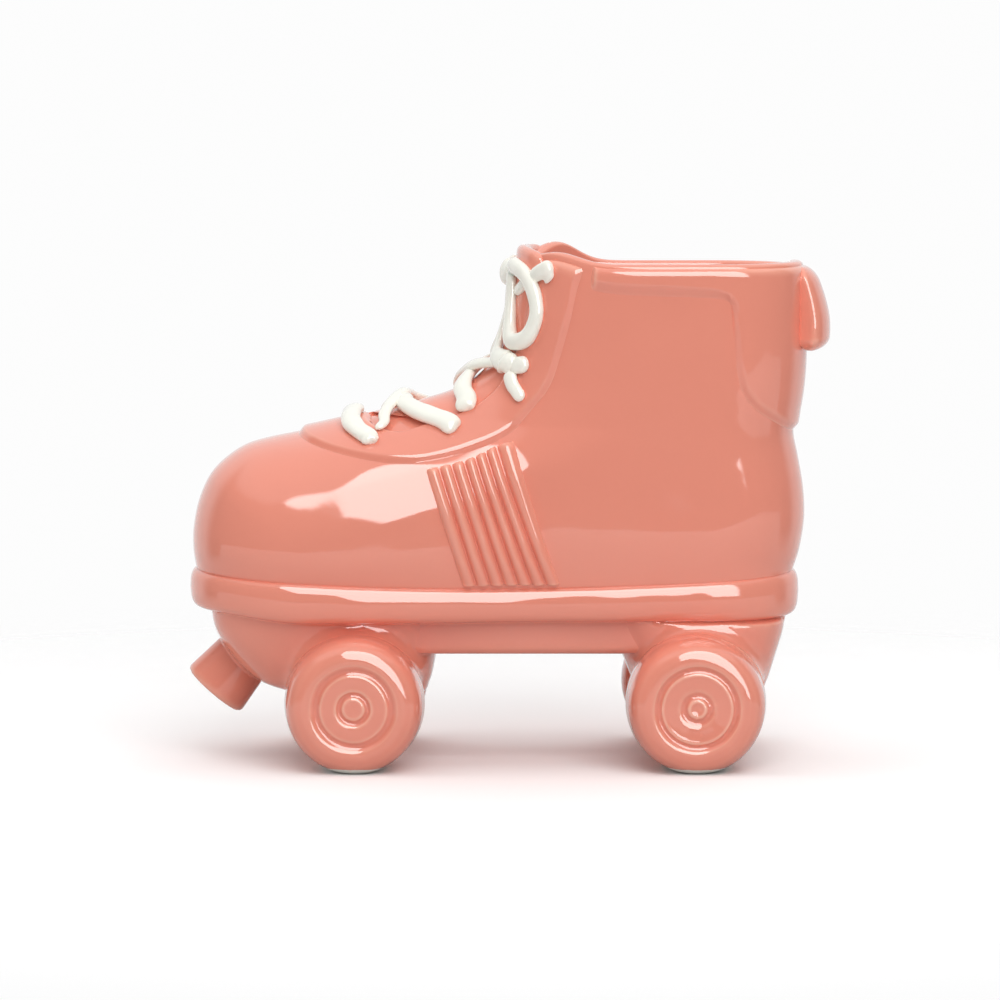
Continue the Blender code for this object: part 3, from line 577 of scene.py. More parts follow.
def glazeToneGroup():
    tree, start, end = makeTree(
        "glazeTone", "ShaderNodeTree",
        [("Body", "NodeSocketColor", None), ("Deep", "NodeSocketColor", None),
         ("Thin", "NodeSocketColor", None), ("Cloud", "NodeSocketFloat", 0.1),
         ("Thin Reach", "NodeSocketFloat", 0.8), ("Pool Reach", "NodeSocketFloat", 0.8)],
        [("Color", "NodeSocketColor")])
    place = addNode(tree, "ShaderNodeTexCoord").outputs["Object"]
    cloud = noiseNode(tree, place, 38.0, 3.0, Roughness=0.55)
    speck = noiseNode(tree, place, 900.0, 2.0)
    cloudy = mathNode(tree, "MULTIPLY", rangeNode(tree, cloud, 0.3, 0.75), start.outputs["Cloud"])
    grain = mathNode(tree, "MULTIPLY", speck, 0.06)
    pool, thin = (addNode(tree, "ShaderNodeAttribute", {"attribute_name": name}).outputs["Fac"]
                  for name in ("glazePool", "glazeThin"))
    poolMask = mathNode(tree, "MULTIPLY", pool, start.outputs["Pool Reach"], clamp=True)
    depth = mathNode(tree, "ADD", mathNode(tree, "ADD", cloudy, poolMask), grain, clamp=True)
    darker = mixNode(tree, depth, start.outputs["Body"], start.outputs["Deep"])
    thinMask = mathNode(tree, "MULTIPLY", thin, start.outputs["Thin Reach"], clamp=True)
    paler = mixNode(tree, thinMask, darker, start.outputs["Thin"])
    tree.links.new(paler, end.inputs["Color"])
    return tree


def glazeRippleGroup():
    # height of the fired glaze: a slow flow and a fine peel
    tree, start, end = makeTree("glazeRipple", "ShaderNodeTree",
                                [("Strength", "NodeSocketFloat", 0.1)],
                                [("Height", "NodeSocketFloat")])
    place = addNode(tree, "ShaderNodeTexCoord").outputs["Object"]
    fine = mathNode(tree, "MULTIPLY", noiseNode(tree, place, 420.0, 1.0), 0.12)
    both = mathNode(tree, "ADD", noiseNode(tree, place, 70.0, 1.0), fine)
    height = mathNode(tree, "MULTIPLY", both, start.outputs["Strength"])
    tree.links.new(height, end.inputs["Height"])
    return tree


def dryFootGroup():
    # 1 where the glaze was wiped off near the table
    tree, start, end = makeTree("dryFoot", "ShaderNodeTree",
                                [("Height", "NodeSocketFloat", 0.001),
                                 ("Waver", "NodeSocketFloat", 0.0003)],
                                [("Mask", "NodeSocketFloat")])
    place = addNode(tree, "ShaderNodeTexCoord").outputs["Object"]
    z = addNode(tree, "ShaderNodeSeparateXYZ", None, Vector=place).outputs["Z"]
    sway = mathNode(tree, "MULTIPLY", noiseNode(tree, place, 260.0, 3.0), start.outputs["Waver"])
    past = mathNode(tree, "SUBTRACT", start.outputs["Height"], mathNode(tree, "ADD", z, sway))
    tree.links.new(rangeNode(tree, past, -0.06 * mm, 0.06 * mm), end.inputs["Mask"])
    return tree


glazeTone = glazeToneGroup()
glazeRipple = glazeRippleGroup()
dryFoot = dryFootGroup()


coatWeight = 0.35


def makeGlaze(name, settings, foot=None):
    material = bpy.data.materials.new(name)
    material.use_nodes = True
    tree = material.node_tree
    shader = tree.nodes["Principled BSDF"]
    tone = addNode(tree, "ShaderNodeGroup", {"node_tree": glazeTone}, Body=settings["body"],
                   Deep=settings["deep"], Thin=settings["thin"], Cloud=settings["cloud"],
                   **{"Thin Reach": settings["thinReach"], "Pool Reach": settings["poolReach"]})
    ripple = addNode(tree, "ShaderNodeGroup", {"node_tree": glazeRipple},
                     Strength=settings["ripple"])
    bump = addNode(tree, "ShaderNodeBump", None, Height=ripple.outputs["Height"], Strength=0.35,
                   Distance=1.0 * mm)
    shader.inputs["Roughness"].default_value = settings["roughness"]
    shader.inputs["IOR"].default_value = 1.52
    shader.inputs["Coat Weight"].default_value = coatWeight
    shader.inputs["Coat Roughness"].default_value = 0.02
    tree.links.new(bump.outputs["Normal"], shader.inputs["Normal"])
    colour = tone.outputs["Color"]
    if foot:
        dry = addNode(tree, "ShaderNodeGroup", {"node_tree": dryFoot}, Height=foot["height"],
                      Waver=foot["waver"]).outputs["Mask"]
        colour = mixNode(tree, dry, colour, foot["clay"])
        rough = mixNode(tree, dry, settings["roughness"], foot["roughness"], colour=False)
        tree.links.new(rough, shader.inputs["Roughness"])
        coat = mixNode(tree, dry, coatWeight, 0.0, colour=False)
        tree.links.new(coat, shader.inputs["Coat Weight"])
    tree.links.new(colour, shader.inputs["Base Color"])
    return material


coralGlaze = makeGlaze("coralGlaze", coralSettings)
coralWheelGlaze = makeGlaze("coralWheelGlaze", coralSettings, footSettings)
whiteGlaze = makeGlaze("whiteGlaze", whiteSettings)
print("glazes ready")


shellSettings = {
    "columns": 264, "outsideRows": 136, "liningRows": 30, "rimRows": 8,
    "rimHeight": 1.2 * mm, "tuckIn": 1.2 * mm, "tuckDown": 1.0 * mm, "footLift": 0.5 * mm,
    "liningFoot": 0.06,  # level at which the lining starts to round into the floor
    "floorShares": (0.0, 0.35, 0.7, 0.94),
}
toeLift = {"height": 2.5 * mm, "startX": -62 * mm, "over": 30 * mm}


def soleHeight(x):
    # the underside of the sole band, which lifts towards the toe
    share = (toeLift["startX"] - x) / toeLift["over"]
    return soleZ + toeLift["height"] * smoothStep(share)


def makeShell(settings):
    turns = np.arange(settings["columns"]) * 2 * pi / settings["columns"]
    levels = np.linspace(0, rimLevel, settings["outsideRows"])
    outside = softened(bootPoint(turns[None, :], levels[:, None]), 2, wrapColumns=True)
    # the rim is a half round over the wall
    rimUp = np.array([0, 0, settings["rimHeight"]])
    outer = outside[-1]
    inner = bootPoint(turns, rimLevel, -wall)
    middle, reach = (outer + inner) / 2, (outer - inner) / 2
    rimAngles = np.linspace(0, pi, settings["rimRows"] + 2)[1:-1]
    rim = [middle + reach * math.cos(a) + rimUp * math.sin(a) for a in rimAngles]
    liningLevels = np.linspace(rimLevel, settings["liningFoot"], settings["liningRows"])
    lining = bootPoint(turns[None, :], liningLevels[:, None], -wall)
    crease = outside[0]
    centre = np.array([bootMiddleX, 0, 0])
    inward = (centre - crease) * [1, 1, 0]
    inward /= np.linalg.norm(inward, axis=1, keepdims=True)
    tuckIn = crease + inward * settings["tuckIn"] - [0, 0, settings["tuckDown"]]
    foot = tuckIn.copy()
    foot[:, 2] = soleHeight(foot[:, 0]) + settings["footLift"]
    floorZ = soleZ + wall
    floorRings = []
    for share in settings["floorShares"]:
        ring = lining[-1].copy()
        ring[:, 2] += (floorZ - ring[:, 2]) * smoothStep(share * 1.4)
        ring[:, :2] += (centre[:2] - ring[:, :2]) * share * share
        floorRings.append(ring)
    return ringSkin("bootShell", [foot, tuckIn, *outside, *rim, *lining, *floorRings])


addPiece("bootShell", makeShell(shellSettings), coralGlaze, ["boot_shell"])
print("boot shell made")


bandSettings = {
    "columns": 420,
    # outset from the crease and share of the band's height, from its foot round to the crease
    "section": [(-9.0, 0.0), (-6.0, 0.0), (-2.6, 0.005), (-0.6, 0.04), (0.75, 0.12), (1.5, 0.28),
                (1.75, 0.50), (1.75, 0.66), (1.45, 0.82), (0.75, 0.935), (-0.1, 0.985),
                (-1.0, 1.02), (-3.0, 1.02)],
}


def creaseRing(turns):
    ring = bootPoint(turns, 0.0)
    ahead = np.roll(ring, -1, 0) - np.roll(ring, 1, 0)
    outward = np.column_stack([-ahead[:, 1], ahead[:, 0], 0 * ahead[:, 0]])
    return ring, outward / np.linalg.norm(outward, axis=1, keepdims=True)


def makeBand(settings):
    turns = np.arange(settings["columns"]) * 2 * pi / settings["columns"]
    ring, outward = creaseRing(turns)
    for _ in range(6):
        outward = (np.roll(outward, 1, 0) + 2 * outward + np.roll(outward, -1, 0)) / 4
    section = smoothThrough(settings["section"], 4)
    foot = soleHeight(ring[:, 0])
    height = ring[:, 2] - foot
    rings = []
    for outset, share in section:
        row = ring + outward * outset * mm
        row[:, 2] = foot + share * height
        row += outward * unevenness(row)[:, None] * smoothStep((outset + 4) / 3)
        rings.append(row)
    rings = np.array(rings)
    faces = gridQuads(len(rings), settings["columns"], wrapRows=True, wrapColumns=True)
    return meshFrom("soleBand", rings, faces)


addPiece("soleBand", makeBand(bandSettings), coralGlaze, ["sole_band"])
print("sole band made")


def edgeLine(places, ridgePlace, count):
    # turns and levels from the left end of an edge, over the ridge, to its right end
    right = [sideView(*place) for place in places]
    left = [(-turn, level) for turn, level in right]
    line = smoothThrough([*left, onRidge(ridgePlace), *right[::-1]])
    steps = np.linspace(0, 1, len(line))
    share = np.linspace(0, 1, count)
    return np.interp(share, steps, line[:, 0]), np.interp(share, steps, line[:, 1])


def stepUp(distance, width):
    return smoothStep(distance / width)


def roundUp(distance, width, least=0.0):
    return np.sqrt(np.clip(1 - (1 - np.clip(distance / width, 0, 1)) ** 2, least, 1))


def padMesh(name, surface, height, depth=1.4 * mm):
    return slab(name, softened(surface(height), 1), surface(-depth))


facingSettings = {
    "columns": 320, "rows": 42, "relief": 1.55 * mm, "edge": 2.3 * mm, "sink": 0.12 * mm,
    "outer": [(0.633, 0.985), (0.622, 0.92), (0.612, 0.83), (0.593, 0.70), (0.569, 0.585),
              (0.529, 0.488), (0.497, 0.44), (0.449, 0.401), (0.384, 0.37), (0.336, 0.363),
              (0.287, 0.373), (0.222, 0.40)],
    "tip": 0.168,
    "inner": [(0.562, 0.985), (0.553, 0.92), (0.540, 0.82), (0.524, 0.725), (0.508, 0.66),
              (0.485, 0.590), (0.434, 0.515), (0.379, 0.482), (0.327, 0.462)],
    "throat": 0.290,
}


def makeFacing(settings):
    count = settings["columns"]
    outer = edgeLine(settings["outer"], settings["tip"], count)
    inner = edgeLine(settings["inner"], settings["throat"], count)
    across = np.linspace(0, 1, settings["rows"])[:, None]
    turn = inner[0] + (outer[0] - inner[0]) * across
    level = np.minimum(inner[1] + (outer[1] - inner[1]) * across, rimLevel - 0.001)
    surface = bootSurface(turn, level)
    bare = surface()
    run = np.linalg.norm(np.diff(bare, axis=0), axis=-1)
    fromInner = np.concatenate([np.zeros((1, count)), np.cumsum(run, axis=0)])
    fromOuter = fromInner[-1] - fromInner
    ends = np.linalg.norm(np.diff(bare, axis=1), axis=-1)
    fromStart = np.concatenate([np.zeros((settings["rows"], 1)), np.cumsum(ends, axis=1)], 1)
    fromEnd = np.minimum(fromStart, fromStart[:, -1:] - fromStart)
    rise = (stepUp(fromInner, settings["edge"]) * stepUp(fromOuter, settings["edge"])
            * roundUp(fromEnd, 1.8 * mm))
    height = -settings["sink"] + (settings["relief"] + settings["sink"]) * rise
    return padMesh("laceFacing", surface, height)


addPiece("laceFacing", makeFacing(facingSettings), coralGlaze, ["lace_facing"])

tongueSettings = {
    "columns": 60, "rows": 100, "relief": 0.9 * mm, "topRelief": 2.0 * mm, "thickness": 4.4 * mm,
    "topLevel": 0.962, "roundRows": 12, "sideDrop": 0.026, "underFacing": 1.04,
    "standFrom": 0.80, "standOver": 0.10, "droopFrom": 0.88, "droopOver": 0.08,
}


def makeTongue(settings):
    turns, levels = edgeLine(facingSettings["inner"], facingSettings["throat"], 301)
    turns, levels = turns[150:], levels[150:]
    rows = np.linspace(levels[0] - 0.01, settings["topLevel"], settings["rows"])
    half = np.interp(rows, levels, turns) * settings["underFacing"] + 0.02
    across = np.linspace(-1, 1, settings["columns"])
    turn = half[:, None] * across
    droop = smoothStep((rows - settings["droopFrom"]) / settings["droopOver"])[:, None]
    level = rows[:, None] - settings["sideDrop"] * across**2 * droop
    edge = np.sqrt(np.clip(1 - np.abs(across) ** 10, 0, 1))[None, :]
    stand = smoothStep((rows - settings["standFrom"]) / settings["standOver"])[:, None]
    outer = settings["relief"] + (settings["topRelief"] - settings["relief"]) * stand
    inner = outer - settings["thickness"]
    middle, reach = (outer + inner) / 2, (outer - inner) / 2 * edge
    surface = bootSurface(turn, level)
    front, back = surface(middle + reach), surface(middle - reach)
    # the top edge is rolled over from the front face to the back one
    centre = (front[-1] + back[-1]) / 2
    arm = (front[-1] - back[-1]) / 2
    size = np.linalg.norm(arm, axis=1, keepdims=True)
    upward = front[-1] - front[-2]
    upward /= np.linalg.norm(upward, axis=1, keepdims=True)
    angles = np.linspace(0, pi, settings["roundRows"] + 2)[1:-1]
    roll = [centre + arm * math.cos(a) + upward * size * math.sin(a) for a in angles]
    sheet = np.array([*front, *roll, *back[::-1]])
    count, columns = len(sheet), settings["columns"]
    faces = [gridQuads(count, columns)]
    i = np.arange(count // 2 - 1)
    for column in (0, columns - 1):
        side = np.stack([i, i + 1, count - 2 - i, count - 1 - i], -1) * columns + column
        faces.append(side if column else side[:, ::-1])
    j = np.arange(columns - 1)
    last = (count - 1) * columns
    faces.append(np.stack([j, last + j, last + j + 1, j + 1], -1))
    return meshFrom("tongue", sheet, np.concatenate(faces))


addPiece("tongue", makeTongue(tongueSettings), coralGlaze, ["tongue"])

collarSettings = {
    "columns": 340, "rows": 72, "relief": 1.5 * mm, "sink": 0.12 * mm,
    "lowerEdge": 4.6 * mm, "topEdge": 2.4 * mm, "endEdge": 1.6 * mm,
    "patchEdge": 2.5 * mm, "wideFrom": 0.865, "wideOver": 0.02,
    "lower": [(0.640, 0.915), (0.70, 0.905), (0.79, 0.898), (0.850, 0.893), (0.866, 0.878),
              (0.869, 0.83), (0.872, 0.75), (0.876, 0.66), (0.888, 0.585), (0.915, 0.525),
              (0.957, 0.470)],
    "heel": 0.452,
}


def makeCollar(settings):
    right = [sideView(*place) for place in settings["lower"]]
    heelZ = toeCreaseZ + settings["heel"] * bootOutline["height"]
    heel = (pi, locate(rearLine[:, 0].max(), heelZ)[1])
    left = [(2 * pi - turn, level) for turn, level in right[::-1]]
    lower = smoothThrough([*right, heel, *left])
    steps = np.linspace(0, 1, len(lower))
    share = np.linspace(0, 1, settings["columns"])
    lowTurn, lowLevel = (np.interp(share, steps, lower[:, i]) for i in (0, 1))
    topTurn = lowTurn[0] + (lowTurn[-1] - lowTurn[0]) * share
    up = np.linspace(0, 1, settings["rows"])[:, None]
    turn = lowTurn + (topTurn - lowTurn) * up
    level = lowLevel + (rimLevel - 0.001 - lowLevel) * up
    surface = bootSurface(turn, level)
    bare = surface()
    border = bare[0]
    # distance to the lower edge, the rim and the two front ends
    fromLower = np.empty(turn.shape)
    for column in range(0, settings["columns"], 20):
        part = bare[:, column:column + 20]
        near = border[max(0, column - 90):column + 110]
        gap = np.linalg.norm(part[:, :, None, :] - near[None, None, :, :], axis=-1)
        fromLower[:, column:column + 20] = gap.min(-1)
    fromTop = np.linalg.norm(bare - bare[-1:], axis=-1)
    fromEnd = np.minimum(np.linalg.norm(bare - bare[:, :1], axis=-1),
                         np.linalg.norm(bare - bare[:, -1:], axis=-1))
    wide = smoothStep((lowLevel - settings["wideFrom"]) / settings["wideOver"])
    edge = settings["patchEdge"] + (settings["lowerEdge"] - settings["patchEdge"]) * wide
    rise = (stepUp(fromLower, edge) * roundUp(fromTop, settings["topEdge"])
            * stepUp(fromEnd, settings["endEdge"]))
    height = -settings["sink"] + (settings["relief"] + settings["sink"]) * rise
    return padMesh("collarAndHeelPatch", surface, height)


addPiece("collarAndHeelPatch", makeCollar(collarSettings), coralGlaze,
         ["collar_and_heel_patch"])
print("relief pads made")


ribSettings = {
    "count": 7, "height": 2.0 * mm, "sink": 0.25 * mm, "roundness": 0.62, "perRib": 12, "rows": 80,
    # shares of the boot's length at which the ribs part, along their tops and along the sole
    "tops": [0.377, 0.398, 0.418, 0.4385, 0.456, 0.473, 0.490, 0.519],
    "topHeights": [0.350, 0.357, 0.366, 0.376, 0.389, 0.405, 0.423, 0.440],
    "feet": (0.436, 0.593),
    "footHeight": -0.030,
    "rearSag": 0.003,
    "tipRound": 2.2 * mm,
    "lowReach": 9 * mm, "lowSink": 0.25,  # over the last of their length the ribs sink
    "bedding": 1.2 * mm,
}


def ribTree():
    tree, start, end = makeTree(
        "mouldedRibs", "GeometryNodeTree",
        [("Geometry", "NodeSocketGeometry", None), ("Rib Height", "NodeSocketFloat", 0.001),
         ("Sink", "NodeSocketFloat", 0.0002), ("Roundness", "NodeSocketFloat", 0.62),
         ("Material", "NodeSocketMaterial", None)],
        [("Geometry", "NodeSocketGeometry")])
    phase, fade = readLayer(tree, "phase"), readLayer(tree, "fade")
    outward = readLayer(tree, "outward", "FLOAT_VECTOR")
    wave = mathNode(tree, "ABSOLUTE", mathNode(tree, "SINE", mathNode(tree, "MULTIPLY", phase, pi)))
    crown = mathNode(tree, "POWER", wave, start.outputs["Roundness"])
    tall = mathNode(tree, "MULTIPLY", mathNode(tree, "MULTIPLY", crown, fade),
                    start.outputs["Rib Height"])
    offset = mathNode(tree, "SUBTRACT", tall, start.outputs["Sink"])
    move = addNode(tree, "ShaderNodeVectorMath", {"operation": "SCALE"}, at0=outward, Scale=offset)
    shaped = addNode(tree, "GeometryNodeSetPosition", None, Geometry=start.outputs["Geometry"],
                     Offset=move.outputs[0])
    return finishTree(tree, shaped.outputs[0], start, end)


mouldedRibs = ribTree()


def makeRibs(name, side, settings):
    count = settings["count"]
    phase = np.linspace(0, count, count * settings["perRib"] + 1)
    edges = np.arange(count + 1)
    tops, topHeights = (np.interp(phase, edges, settings[key]) for key in ("tops", "topHeights"))
    feet = np.linspace(*settings["feet"], len(phase))
    down = np.linspace(0, 1, settings["rows"])[:, None]
    sag = settings["rearSag"] * 4 * down * (1 - down) * (phase / count) ** 2
    shareX = tops + (feet - tops) * down - sag
    shareZ = topHeights + (settings["footHeight"] - topHeights) * down
    places = np.array([[sideView(x, z) for x, z in zip(*row)] for row in zip(shareX, shareZ)])
    turn, level = side * places[..., 0], places[..., 1]
    lifted = bootSurface(turn, level)
    surface = lifted()
    run = np.linalg.norm(np.diff(surface, axis=0), axis=-1)
    fromTop = np.concatenate([np.zeros((1, len(phase))), np.cumsum(run, axis=0)])
    within = np.abs((phase % 1) - 0.5) * 2  # 0 on a rib's crown, 1 in a groove
    tip = fromTop - settings["tipRound"] * 0.3 * within**2
    fade = roundUp(tip, settings["tipRound"])
    low = settings["lowSink"]
    fade *= 1 - low + low * stepUp(fromTop[-1] - fromTop, settings["lowReach"])
    outward = lifted.outward
    mesh = slab(name, surface, lifted(-settings["bedding"]))
    flat = np.zeros(surface.shape[:2])
    addLayer(mesh, "phase", "FLOAT", np.stack([flat + phase, flat]))
    addLayer(mesh, "fade", "FLOAT", np.stack([fade, flat]))
    addLayer(mesh, "outward", "FLOAT_VECTOR", np.stack([outward, outward * 0]))
    return runTree(newObject(name, mesh), mouldedRibs, {
        "Rib Height": settings["height"] + settings["sink"], "Sink": settings["sink"],
        "Roundness": settings["roundness"], "Material": coralGlaze})


for side, word in ((-1, "Left"), (1, "Right")):
    addPiece(f"ribbedPanel{word}", makeRibs(f"ribbedPanel{word}", side, ribSettings), coralGlaze,
             [f"ribbed_panel_{word.lower()}"])
print("ribbed panels made")


tabSettings = {
    "rows": 90, "ringPoints": 88, "halfTurn": 0.375, "fullness": 4.2, "endRound": 4.2 * mm,
    # lift off the heel and half thickness, from the tab's foot to its top
    "lift": [3.7, 3.9, 3.8, 3.1, 2.0, 0.6], "halfThickness": [4.5, 4.7, 4.6, 4.2, 3.6, 2.8],
}


def makeTab(settings):
    low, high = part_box("pull_tab")
    heelX = rearLine[:, 0].max()
    lowLevel = locate(heelX, low[2] + 0.8 * mm)[1]
    highLevel = rimLevel - 0.004
    share = np.linspace(0, 1, settings["rows"])
    share = 0.5 - 0.5 * np.cos(pi * share)
    level = lowLevel + (highLevel - lowLevel) * share
    length = high[2] - low[2]
    toEnd = np.minimum(share, 1 - share) * length
    cap = roundUp(toEnd, settings["endRound"], 0.002)
    stations = np.linspace(0, 1, len(settings["lift"]))
    lift, half = (smoothThrough(np.column_stack([stations, settings[key]]), 10)
                  for key in ("lift", "halfThickness"))
    lift, half = (np.interp(share, line[:, 0], line[:, 1]) * mm for line in (lift, half))
    count = settings["ringPoints"]
    angle = (np.arange(count) + 0.5) * 2 * pi / count
    power = 2 / settings["fullness"]
    across = np.sign(np.cos(angle)) * np.abs(np.cos(angle)) ** power
    through = np.sign(np.sin(angle)) * np.abs(np.sin(angle)) ** power
    side = 1 - (1 - cap) * 0.35
    turn = pi + settings["halfTurn"] * side[:, None] * across
    rise = lift[:, None] + (half * cap)[:, None] * through
    return ringSkin("pullTab", bootPoint(turn, level[:, None], rise))


addPiece("pullTab", makeTab(tabSettings), coralGlaze, ["pull_tab"])
print("pull tab made")


wheelSettings = {
    "steps": 224,
    # radius and distance in from the outer face, from the hub out over the tread to the inside
    "front": [(0.0, 0.35), (1.6, 0.32), (3.1, 0.34), (3.65, 0.75), (4.1, 1.15), (4.7, 1.15),
              (5.2, 0.7), (5.7, 0.36), (7.5, 0.25), (9.9, 0.3), (10.5, 0.6), (11.0, 0.98),
              (12.0, 1.0), (12.7, 0.55), (13.4, 0.12), (14.8, 0.0), (16.2, 0.28), (17.9, 1.1),
              (19.2, 2.5), (20.2, 4.5)],
    "rear": [(0.0, 0.75), (1.3, 0.62), (2.5, 0.42), (3.1, 0.85), (3.5, 1.25), (4.5, 1.35),
             (5.3, 0.95), (6.2, 0.75), (7.8, 0.65), (9.6, 0.5), (10.6, 0.36), (10.95, 0.62),
             (11.4, 1.0), (12.2, 1.05), (12.9, 0.5), (13.5, 0.08), (14.8, 0.0), (16.4, 0.3),
             (18.1, 1.15), (19.3, 2.6), (20.2, 4.6)],
    "tread": [(20.9, 7.5), (21.3, 12.0), (21.6, 16.0), (21.5, 21.0), (20.6, 25.0), (18.6, 26.7),
              (15.0, 27.0), (8.0, 27.0), (0.0, 27.0)],
    "cadRadius": 21.2 * mm,  # the wheel radius that these sections were drawn for
    "wobble": 0.22 * mm,
    "faceDepth": 0.15 * mm,
    "rearShift": -0.8 * mm,  # the rear pair sits forward by this
}


def wheelTree():
    # sweeps a wheel's section round a circle, sets it on its axle and rubs its foot flat
    tree, start, end = makeTree(
        "turnedWheel", "GeometryNodeTree",
        [("Geometry", "NodeSocketGeometry", None), ("Steps", "NodeSocketInt", 96),
         ("Axle", "NodeSocketVector", None), ("Turn", "NodeSocketVector", None),
         ("Wobble", "NodeSocketFloat", 0.0002), ("Seed", "NodeSocketFloat", 0.0),
         ("Material", "NodeSocketMaterial", None)],
        [("Geometry", "NodeSocketGeometry")])
    section = addNode(tree, "GeometryNodeMeshToCurve", None, Mesh=start.outputs["Geometry"])
    circle = addNode(tree, "GeometryNodeCurvePrimitiveCircle", None,
                     Resolution=start.outputs["Steps"], Radius=1.0)
    swept = addNode(tree, "GeometryNodeCurveToMesh", None, Curve=circle.outputs["Curve"],
                    **{"Profile Curve": section.outputs[0]})
    # the swept section stands a metre out, so every point is drawn back to its own radius
    place = addNode(tree, "GeometryNodeInputPosition")
    parts = addNode(tree, "ShaderNodeSeparateXYZ", None, Vector=place.outputs[0])
    flat = addNode(tree, "ShaderNodeCombineXYZ", None, X=parts.outputs["X"], Y=parts.outputs["Y"])
    far = addNode(tree, "ShaderNodeVectorMath", {"operation": "LENGTH"}, at0=flat.outputs[0])
    radius = mathNode(tree, "SUBTRACT", far.outputs["Value"], 1.0)
    direction = addNode(tree, "ShaderNodeVectorMath", {"operation": "NORMALIZE"},
                        at0=flat.outputs[0])
    noise = addNode(tree, "ShaderNodeTexNoise", {"noise_dimensions": "4D"},
                    Vector=place.outputs[0], W=start.outputs["Seed"], Scale=2.2, Detail=0.0)
    sway = mathNode(tree, "SUBTRACT", noise.outputs["Fac"], 0.5)
    sway = mathNode(tree, "MULTIPLY", sway, start.outputs["Wobble"])
    fromHub = mathNode(tree, "MULTIPLY", radius, 1 / (6 * mm), clamp=True)
    sway = mathNode(tree, "MULTIPLY", sway, fromHub)
    ring = addNode(tree, "ShaderNodeVectorMath", {"operation": "SCALE"},
                   at0=direction.outputs[0], Scale=mathNode(tree, "ADD", radius, sway))
    height = addNode(tree, "ShaderNodeCombineXYZ", None,
                     Z=mathNode(tree, "ADD", parts.outputs["Z"], sway))
    spot = addNode(tree, "ShaderNodeVectorMath", {"operation": "ADD"},
                   at0=ring.outputs[0], at1=height.outputs[0])
    drawn = addNode(tree, "GeometryNodeSetPosition", None, Geometry=swept.outputs["Mesh"],
                    Position=spot.outputs[0])
    welded = addNode(tree, "GeometryNodeMergeByDistance", None, Geometry=drawn.outputs[0],
                     Distance=0.01 * mm)
    turned = addNode(tree, "GeometryNodeTransform", None, Geometry=welded.outputs[0],
                     Translation=start.outputs["Axle"], Rotation=start.outputs["Turn"])
    here = addNode(tree, "GeometryNodeInputPosition")
    spread = addNode(tree, "ShaderNodeSeparateXYZ", None, Vector=here.outputs[0])
    rubbed = addNode(tree, "ShaderNodeCombineXYZ", None, X=spread.outputs["X"],
                     Y=spread.outputs["Y"], Z=mathNode(tree, "MAXIMUM", spread.outputs["Z"], 0.0))
    standing = addNode(tree, "GeometryNodeSetPosition", None, Geometry=turned.outputs[0],
                       Position=rubbed.outputs[0])
    smooth = addNode(tree, "GeometryNodeSetShadeSmooth", None, Geometry=standing.outputs[0])
    return finishTree(tree, smooth.outputs[0], start, end)


turnedWheel = wheelTree()


def wheelPlace(node):
    low, high = (np.array(corner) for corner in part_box(node))
    radius = (high[0] - low[0]) / 2
    return (low[0] + high[0]) / 2, high[2] - radius, radius, low[1], high[1]


def makeWheel(name, node, side, face, seed):
    axleX, axleZ, radius, lowY, highY = wheelPlace(node)
    grow = radius / wheelSettings["cadRadius"]
    points = smoothThrough([*face, *wheelSettings["tread"]], 5)
    profile = [(max(r, 0) * mm * grow, inward * mm, 0) for r, inward in points]
    holder = pointObject(name, profile, [(i, i + 1) for i in range(len(profile) - 1)], [])
    faceY = (lowY if side < 0 else highY) - side * wheelSettings["faceDepth"]
    axleX += wheelSettings["rearShift"] * node.startswith("rear")
    return runTree(holder, turnedWheel, {
        "Steps": wheelSettings["steps"], "Axle": (axleX, faceY, axleZ),
        "Turn": (-side * pi / 2, 0, 0.0), "Wobble": wheelSettings["wobble"], "Seed": seed,
        "Material": coralWheelGlaze})


wheelSeed = 3.1
for end in ("front", "rear"):
    for side, word in ((-1, "left"), (1, "right")):
        name, node = f"{end}{word.capitalize()}Wheel", f"{end}_{word}_wheel"
        mesh = makeWheel(name, node, side, wheelSettings[end], wheelSeed)
        addPiece(name, mesh, coralWheelGlaze, [node], passes=1)
        wheelSeed += 2.7
print("wheels made")


chassisSettings = {
    "step": 1.0 * mm,
    "wheelFillet": 5.0 * mm,
    "soleFillet": 1.8 * mm,
    "keelFillet": 1.3 * mm,
    "stopFillet": 2.6 * mm,
    "sunk": 0.3 * mm,  # how far a fillet's edge lies under the piece that it runs onto
    # front, rear and half width as distances from the axle, against the drop below the sole
    "frontTub": [(-45.2, 26.2, 31.0, -5.0), (-44.9, 26.2, 31.0, 0.0), (-43.4, 25.6, 30.2, 5.0),
                 (-39.0, 24.9, 28.2, 12.0), (-33.4, 23.8, 25.5, 18.0), (-28.6, 22.8, 24.0, 21.0),
                 (-20.5, 21.6, 22.0, 23.6), (-10.0, 16.0, 17.0, 28.0), (-4.0, 10.0, 12.0, 31.0)],
    "rearTub": [(-27.8, 27.9, 29.5, -5.0), (-27.8, 27.8, 29.5, 0.0), (-26.2, 27.0, 28.8, 5.0),
                (-23.2, 24.9, 26.9, 12.0), (-20.0, 22.4, 24.2, 20.0), (-17.6, 19.6, 21.0, 25.0),
                (-12.0, 12.0, 17.0, 30.0), (-8.0, 8.0, 12.0, 33.0)],
    "bottomRound": 5.0 * mm,
    "underSole": 1.2 * mm,  # how far a casting goes up into the sole band
    "insideCrease": 1.6 * mm,
    "keelHalfWidth": 25.0 * mm,
    "keelDepth": 10.4 * mm,
    "fullness": 3.4,
}


